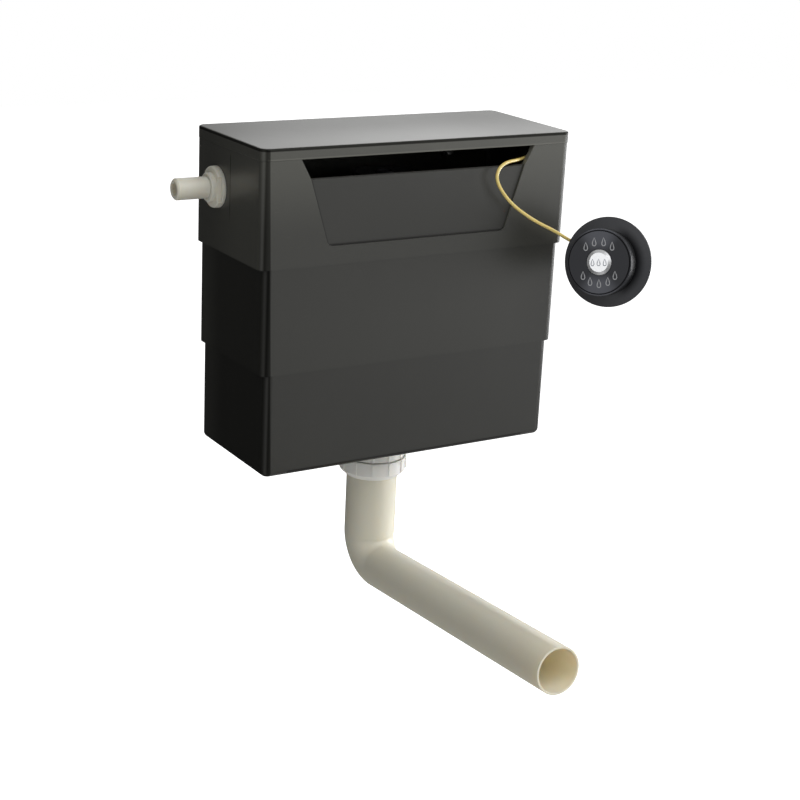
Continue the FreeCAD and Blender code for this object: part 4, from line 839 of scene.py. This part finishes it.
class CISTERN_OT_hose(Operator):
    """Lay the air hose from the actuator, out of the slot and down to the button"""

    bl_idname = "cistern.hose"
    bl_label = "Air hose"
    bl_options = {"REGISTER", "UNDO"}

    # Control points in metres, from the actuator's nozzle to the button's
    ROUTE = [
        (0.043, -0.070, -0.035),
        (0.062, -0.070, -0.035),
        (0.091, -0.076, -0.0295),
        (0.118, -0.087, -0.017),
        (0.136, -0.098, -0.004),
        (0.145, -0.109, 0.006),
        (0.1425, -0.119, 0.0125),
        (0.1335, -0.125, 0.0155),
        (0.122, -0.131, 0.014),
        (0.1095, -0.139, 0.0145),
        (0.0945, -0.143, 0.014),
        (0.084, -0.1465, 0.010),
        (0.079, -0.149, 0.0015),
        (0.0815, -0.151, -0.0075),
        (0.0885, -0.1525, -0.0175),
        (0.0975, -0.1538, -0.0265),
        (0.109, -0.155, -0.035),
        (0.127, -0.157, -0.046),
        (0.149, -0.158, -0.0562),
        (0.17157, -0.15745, -0.06925),
        (0.18438, -0.16037, -0.07386),
    ]

    def execute(self, context):
        scene = context.scene
        hose = scene.cistern_hose
        curve = bpy.data.curves.new("air_line", "CURVE")
        curve.dimensions = "3D"
        curve.bevel_depth = hose.diameter / 2
        curve.bevel_resolution = 6
        curve.resolution_u = 12
        curve.use_fill_caps = True
        spline = curve.splines.new("NURBS")
        spline.points.add(len(self.ROUTE) - 1)
        for point, spot in zip(spline.points, self.ROUTE):
            point.co = (*spot, 1.0)
        spline.order_u = 3
        spline.use_endpoint_u = True
        piece = bpy.data.objects.new("air_line", curve)
        scene.collection.objects.link(piece)
        amber = moulded(
            "Amber hose", hose.colour, 0.28, tone=0.05, depth=0.000004, subsurface=0.35,
        )
        self.paint_rim_shade(amber, linear(hose.rim_shade_colour))
        finish_with(piece, amber)
        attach(piece, "cistern")
        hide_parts("air_hose")
        return {"FINISHED"}

    def paint_rim_shade(self, material, rim_shade_colour):
        """Paint shade at the hose's rims, blending its colour to a darker amber, standing in for how
        clear plastic shows it.
        """
        tree = material.node_tree
        shader = tree.nodes["Principled BSDF"]
        base = shader.inputs["Base Color"].links[0].from_socket
        turned_away = place(tree, "ShaderNodeLayerWeight", {"Blend": 0.5}).outputs["Facing"]
        rim = ramp(tree, turned_away, 0.45, 0.90)
        tree.links.new(blend_colours(tree, rim, base, rim_shade_colour), shader.inputs["Base Color"])


class CISTERN_OT_tank(Operator):
    """Finish the tank and its lid"""

    bl_idname = "cistern.tank"
    bl_label = "Tank and lid"
    bl_options = {"REGISTER", "UNDO"}

    def execute(self, context):
        scene = context.scene
        tank = scene.cistern_tank
        # The tank's tones group paints light and shade into its colour by place
        charcoal = moulded(
            "Charcoal tank", tank.colour, tank.roughness, tone=0.16, drift=0.11, spread=0.08,
            grain=tank.grain, depth=0.000012, rubbing=0.10, specular=0.06,
            tones=("tiers", {"Tier": tank.tier, "Top": tank.glow}),
        )
        dress(charcoal, "cistern_tank", "cistern_lid")
        round_edges(tank.edge, "cistern_tank")
        round_edges(tank.edge / 2, "cistern_lid")
        return {"FINISHED"}


class CISTERN_OT_inlet(Operator):
    """Finish the water inlet's tail and wing nut"""

    bl_idname = "cistern.inlet"
    bl_label = "Water inlet"
    bl_options = {"REGISTER", "UNDO"}

    def execute(self, context):
        scene = context.scene
        inlet = scene.cistern_inlet
        pale = moulded(
            "Grey white inlet", inlet.colour, inlet.roughness, depth=0.00001, subsurface=0.50,
            scatter=0.008,
        )
        dress(pale, "inlet_valve_body", "inlet_backnut")
        round_edges(inlet.edge, "inlet_valve_body", "inlet_backnut")
        return {"FINISHED"}


class CISTERN_OT_outlet(Operator):
    """Finish the outlet's nuts and the flush bend"""

    bl_idname = "cistern.outlet"
    bl_label = "Outlet and flush bend"
    bl_options = {"REGISTER", "UNDO"}

    def execute(self, context):
        scene = context.scene
        outlet = scene.cistern_outlet
        milky = moulded(
            "Milky nut", outlet.nut_colour, outlet.roughness, drift=0.03, grain=0.0007,
            depth=0.00001, subsurface=0.30, scatter=0.004,
        )
        cream = moulded(
            "Cream pipe", outlet.pipe_colour, outlet.roughness, tone=0.06, drift=0.05, grain=0.0008,
            depth=0.00001, subsurface=0.55, scatter=0.006,
        )
        dress(milky, "outlet_backnut", "flush_pipe_nut", "flush_valve_base")
        dress(cream, "flush_pipe")
        round_edges(outlet.edge, "outlet_backnut", "flush_pipe_nut", "flush_pipe")
        return {"FINISHED"}


class CISTERN_OT_valves(Operator):
    """Finish the float valve, the flush valve and the actuator inside the tank"""

    bl_idname = "cistern.valves"
    bl_label = "Inner valves"
    bl_options = {"REGISTER", "UNDO"}

    def execute(self, context):
        scene = context.scene
        valve = scene.cistern_valve
        white = moulded("White valve", valve.colour, 0.34, tone=0.06, drift=0.03, subsurface=0.10)
        blue = moulded("Blue setting part", valve.signal, 0.34)
        dark = moulded("Dark valve", valve.dark, 0.36, tone=0.10, drift=0.03)
        dress(white, "inlet_valve_cap", "inlet_filter", "inlet_drop_tube", "float_arm", "float_cup",
              "flush_valve_cage", "actuator_piston")
        dress(blue, "float_adjuster_screw", "half_flush_float", "half_flush_clip")
        dress(dark, "valve_spindle", "actuator_housing", "actuator_cap")
        round_edges(valve.edge, "inlet_valve_cap", "float_arm", "float_cup", "float_adjuster_screw",
                    "valve_spindle", "actuator_cap", "actuator_housing", "half_flush_float")
        return {"FINISHED"}


class CISTERN_OT_seals(Operator):
    """Finish the seals and fold the two bellows"""

    bl_idname = "cistern.seals"
    bl_label = "Seals and bellows"
    bl_options = {"REGISTER", "UNDO"}

    def execute(self, context):
        scene = context.scene
        rubber = moulded(
            "Black rubber", scene.cistern_valve.rubber, 0.62, tone=0.14, grain=0.0005,
            depth=0.000012, specular=0.35,
        )
        dress(rubber, "inlet_seal_washer", "inlet_diaphragm", "pilot_pad", "base_seal_washer",
              "flush_pipe_seal", "flush_seal", "button_gasket")
        folds = scene.cistern_springs.folds
        self.fold("actuator_folds", "actuator_bellows", rubber, outlet_place(), inner=0.0108,
                  outer=0.0250, low=0.239, high=0.255, folds=folds, mover="spindle")
        self.fold("button_folds", "button_bellows", rubber, button_place(), inner=0.0015,
                  outer=0.0170, low=-0.041, high=-0.006, folds=folds, mover="full_button")
        return {"FINISHED"}

    def fold(self, name, node, rubber, place_in, inner, outer, low, high, folds, mover):
        """One bellows with round folds, open in the middle, between a fixed and a moving end."""
        wall, depth, steps = 0.0012, 0.0030, 16
        outside = []
        for step in range(steps * folds + 1):
            share = step / (steps * folds)
            dip = depth * (1 - math.cos(2 * math.pi * folds * share)) / 2
            outside.append((outer - dip, low + (high - low) * share))
        span = high - low - 2 * wall
        inner_side = [(radius - wall, low + wall + span * (height - low) / (high - low))
                      for radius, height in outside]
        profile = [(inner, low)] + outside + [(inner, high), (inner, high - wall)]
        profile += inner_side[::-1] + [(inner, low + wall)]
        points, faces = turned_shape(profile, 64, place_in)
        piece = mesh_piece(name, points, faces, rubber, None)
        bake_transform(piece)
        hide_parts(node)


class CISTERN_OT_springs(Operator):
    """Wind the button's two return springs and finish the float arm's pin"""

    bl_idname = "cistern.springs"
    bl_label = "Springs and pin"
    bl_options = {"REGISTER", "UNDO"}

    def execute(self, context):
        scene = context.scene
        springs = scene.cistern_springs
        steel = moulded(
            "Spring steel", screen(176, 176, 178), 0.24, tone=0.05, drift=0.01, grain=0.0003,
            depth=0.000003, metallic=1.0,
        )
        dress(steel, "float_arm_pin")
        self.wind("full_spring_wire", "full_return_spring", steel, radius=0.0201, wire=0.0012,
                  low=-0.041, high=-0.006, turns=springs.full_turns,
                  fixed="cistern", mover="full_button")
        self.wind("half_spring_wire", "half_return_spring", steel, radius=0.0080, wire=0.0009,
                  low=0.006, high=0.022, turns=springs.half_turns,
                  fixed="full_button", mover="half_button")
        return {"FINISHED"}

    def wind(self, name, node, steel, radius, wire, low, high, turns, fixed, mover):
        """A compression spring that closes over the last part of a turn at each end."""
        place_in, steps, closing, closed_pitch = button_place(), 28, 0.8, 0.15
        count = int(turns * steps)
        pitches = []
        for step in range(count):
            turn = (step + 0.5) / steps
            open_share = min(1.0, turn / closing, (turns - turn) / closing)
            pitches.append(closed_pitch + (1.0 - closed_pitch) * open_share * open_share)
        rise = (high - low - wire) / sum(pitches)
        height, line = low + wire / 2, []
        for step in range(count + 1):
            angle = 2 * math.pi * step / steps
            line.append(place_in @ Vector((radius * math.cos(angle), radius * math.sin(angle), height)))
            if step < count:
                height += rise * pitches[step]
        points, faces = tube_shape(line, wire / 2, 10)
        piece = mesh_piece(name, points, faces, steel, None)
        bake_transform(piece)
        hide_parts(node)


class CISTERN_OT_button(Operator):
    """Finish the button set and set its drop marks"""

    bl_idname = "cistern.button"
    bl_label = "Push button"
    bl_options = {"REGISTER", "UNDO"}

    def execute(self, context):
        scene = context.scene
        button = scene.cistern_button
        # The spun cap's tones group paints sheens and shade into the button set's colour by place
        charcoal = moulded(
            "Charcoal button", button.colour, 0.34, tone=0.10, drift=0.03, spread=0.05,
            depth=0.000006, specular=0.06, tones=("spun", {"Sheen": button.painted_sheen}),
        )
        silver = moulded(
            "Silver centre", button.centre_colour, 0.28, tone=0.03, drift=0.01, grain=0.0004,
            depth=0.000002, metallic=0.8,
        )
        dress(charcoal, "button_plate", "button_panel_nut", "button_housing", "full_flush_button")
        dress(silver, "half_flush_button")
        round_edges(button.edge, "button_plate", "button_panel_nut", "button_housing",
                    "full_flush_button")
        inked = {"roughness": 0.45, "tone": 0.05, "drift": 0.01, "grain": 0.0004, "depth": 0.000004}
        pale = moulded("Pale mark", button.mark_colour, **inked)
        grey = moulded("Grey mark", button.centre_mark_colour, **inked)
        # Each arc's count of drops, and the angles in degrees between them and at its middle
        arcs = ((button.upper_marks, 27.0, 90.0), (button.lower_marks, 26.0, -90.0))
        drops = []
        for count, spacing, middle in arcs:
            for index in range(count):
                turn = math.radians(middle + spacing * (index - (count - 1) / 2))
                drops.append((button.mark_radius * math.cos(turn), button.mark_radius * math.sin(turn)))
        self.engrave("cap_marks", drops, button.mark_height, CAP_FACE, pale, "full_button",
                     "button_plastic")
        pitch, height = 0.0062, 0.0075
        row = [(pitch * (index - (button.centre_marks - 1) / 2), 0.0)
               for index in range(button.centre_marks)]
        self.engrave("centre_mark", row, height, CENTRE_FACE, grey, "half_button", "button_chrome")
        return {"FINISHED"}

    def engrave(self, name, spots, height, level, material, body, slot):
        """Outlined drops, each with its tip up, that lie in the button's face."""
        place_in, steps, stroke, proud = button_place(), 40, 0.0009, 0.00008
        fullness, sharpness, lean_in = 0.36, 1.4, 0.12
        points, faces = [], []
        for across, along in spots:
            start = len(points)
            for step in range(steps):
                angle = 2 * math.pi * step / steps
                width = fullness * height * math.sin(angle) * math.sin(angle / 2) ** sharpness
                outer = Vector((across + width, along + height / 2 * math.cos(angle), 0.0))
                toward = Vector((across, along - lean_in * height, 0.0)) - outer
                inner = outer + toward.normalized() * min(stroke, toward.length / 2)
                for spot, lift in ((outer, -proud), (outer, proud), (inner, proud), (inner, -proud)):
                    points.append(place_in @ Vector((spot.x, spot.y, level + lift)))
            for step in range(steps):
                following = (step + 1) % steps
                for side in range(4):
                    beside = (side + 1) % 4
                    faces.append((start + 4 * step + side, start + 4 * following + side,
                                  start + 4 * following + beside, start + 4 * step + beside))
        return mesh_piece(name, points, faces, material, body, smooth=False)


OPERATORS = (
    CISTERN_OT_stage,
    CISTERN_OT_hose,
    CISTERN_OT_tank,
    CISTERN_OT_inlet,
    CISTERN_OT_outlet,
    CISTERN_OT_valves,
    CISTERN_OT_seals,
    CISTERN_OT_springs,
    CISTERN_OT_button,
)
PROPERTIES = {
    "cistern_studio": CisternStudioProperties,
    "cistern_hose": CisternHoseProperties,
    "cistern_tank": CisternTankProperties,
    "cistern_inlet": CisternInletProperties,
    "cistern_outlet": CisternOutletProperties,
    "cistern_valve": CisternValveProperties,
    "cistern_springs": CisternSpringProperties,
    "cistern_button": CisternButtonProperties,
}


class CISTERN_PT_finishes(Panel):
    """Lists the cistern's operators and what can be set"""

    bl_label = "Concealed cistern"
    bl_idname = "CISTERN_PT_finishes"
    bl_space_type = "VIEW_3D"
    bl_region_type = "UI"
    bl_category = "Cistern"

    def draw(self, context):
        for operator in OPERATORS:
            self.layout.operator(operator.bl_idname, text=operator.bl_label)
        for name, group in PROPERTIES.items():
            box = self.layout.box()
            for prop in group.__annotations__:
                box.prop(getattr(context.scene, name), prop)


def register():
    for name, group in PROPERTIES.items():
        bpy.utils.register_class(group)
        setattr(bpy.types.Scene, name, PointerProperty(type=group))
    for cls in (*OPERATORS, CISTERN_PT_finishes):
        bpy.utils.register_class(cls)


def unregister():
    for cls in (CISTERN_PT_finishes, *reversed(OPERATORS)):
        bpy.utils.unregister_class(cls)
    for name, group in reversed(PROPERTIES.items()):
        delattr(bpy.types.Scene, name)
        bpy.utils.unregister_class(group)


def main():
    register()
    for operator in OPERATORS:
        group, name = operator.bl_idname.split(".")
        getattr(getattr(bpy.ops, group), name)()


if __name__ == "__main__":
    main()
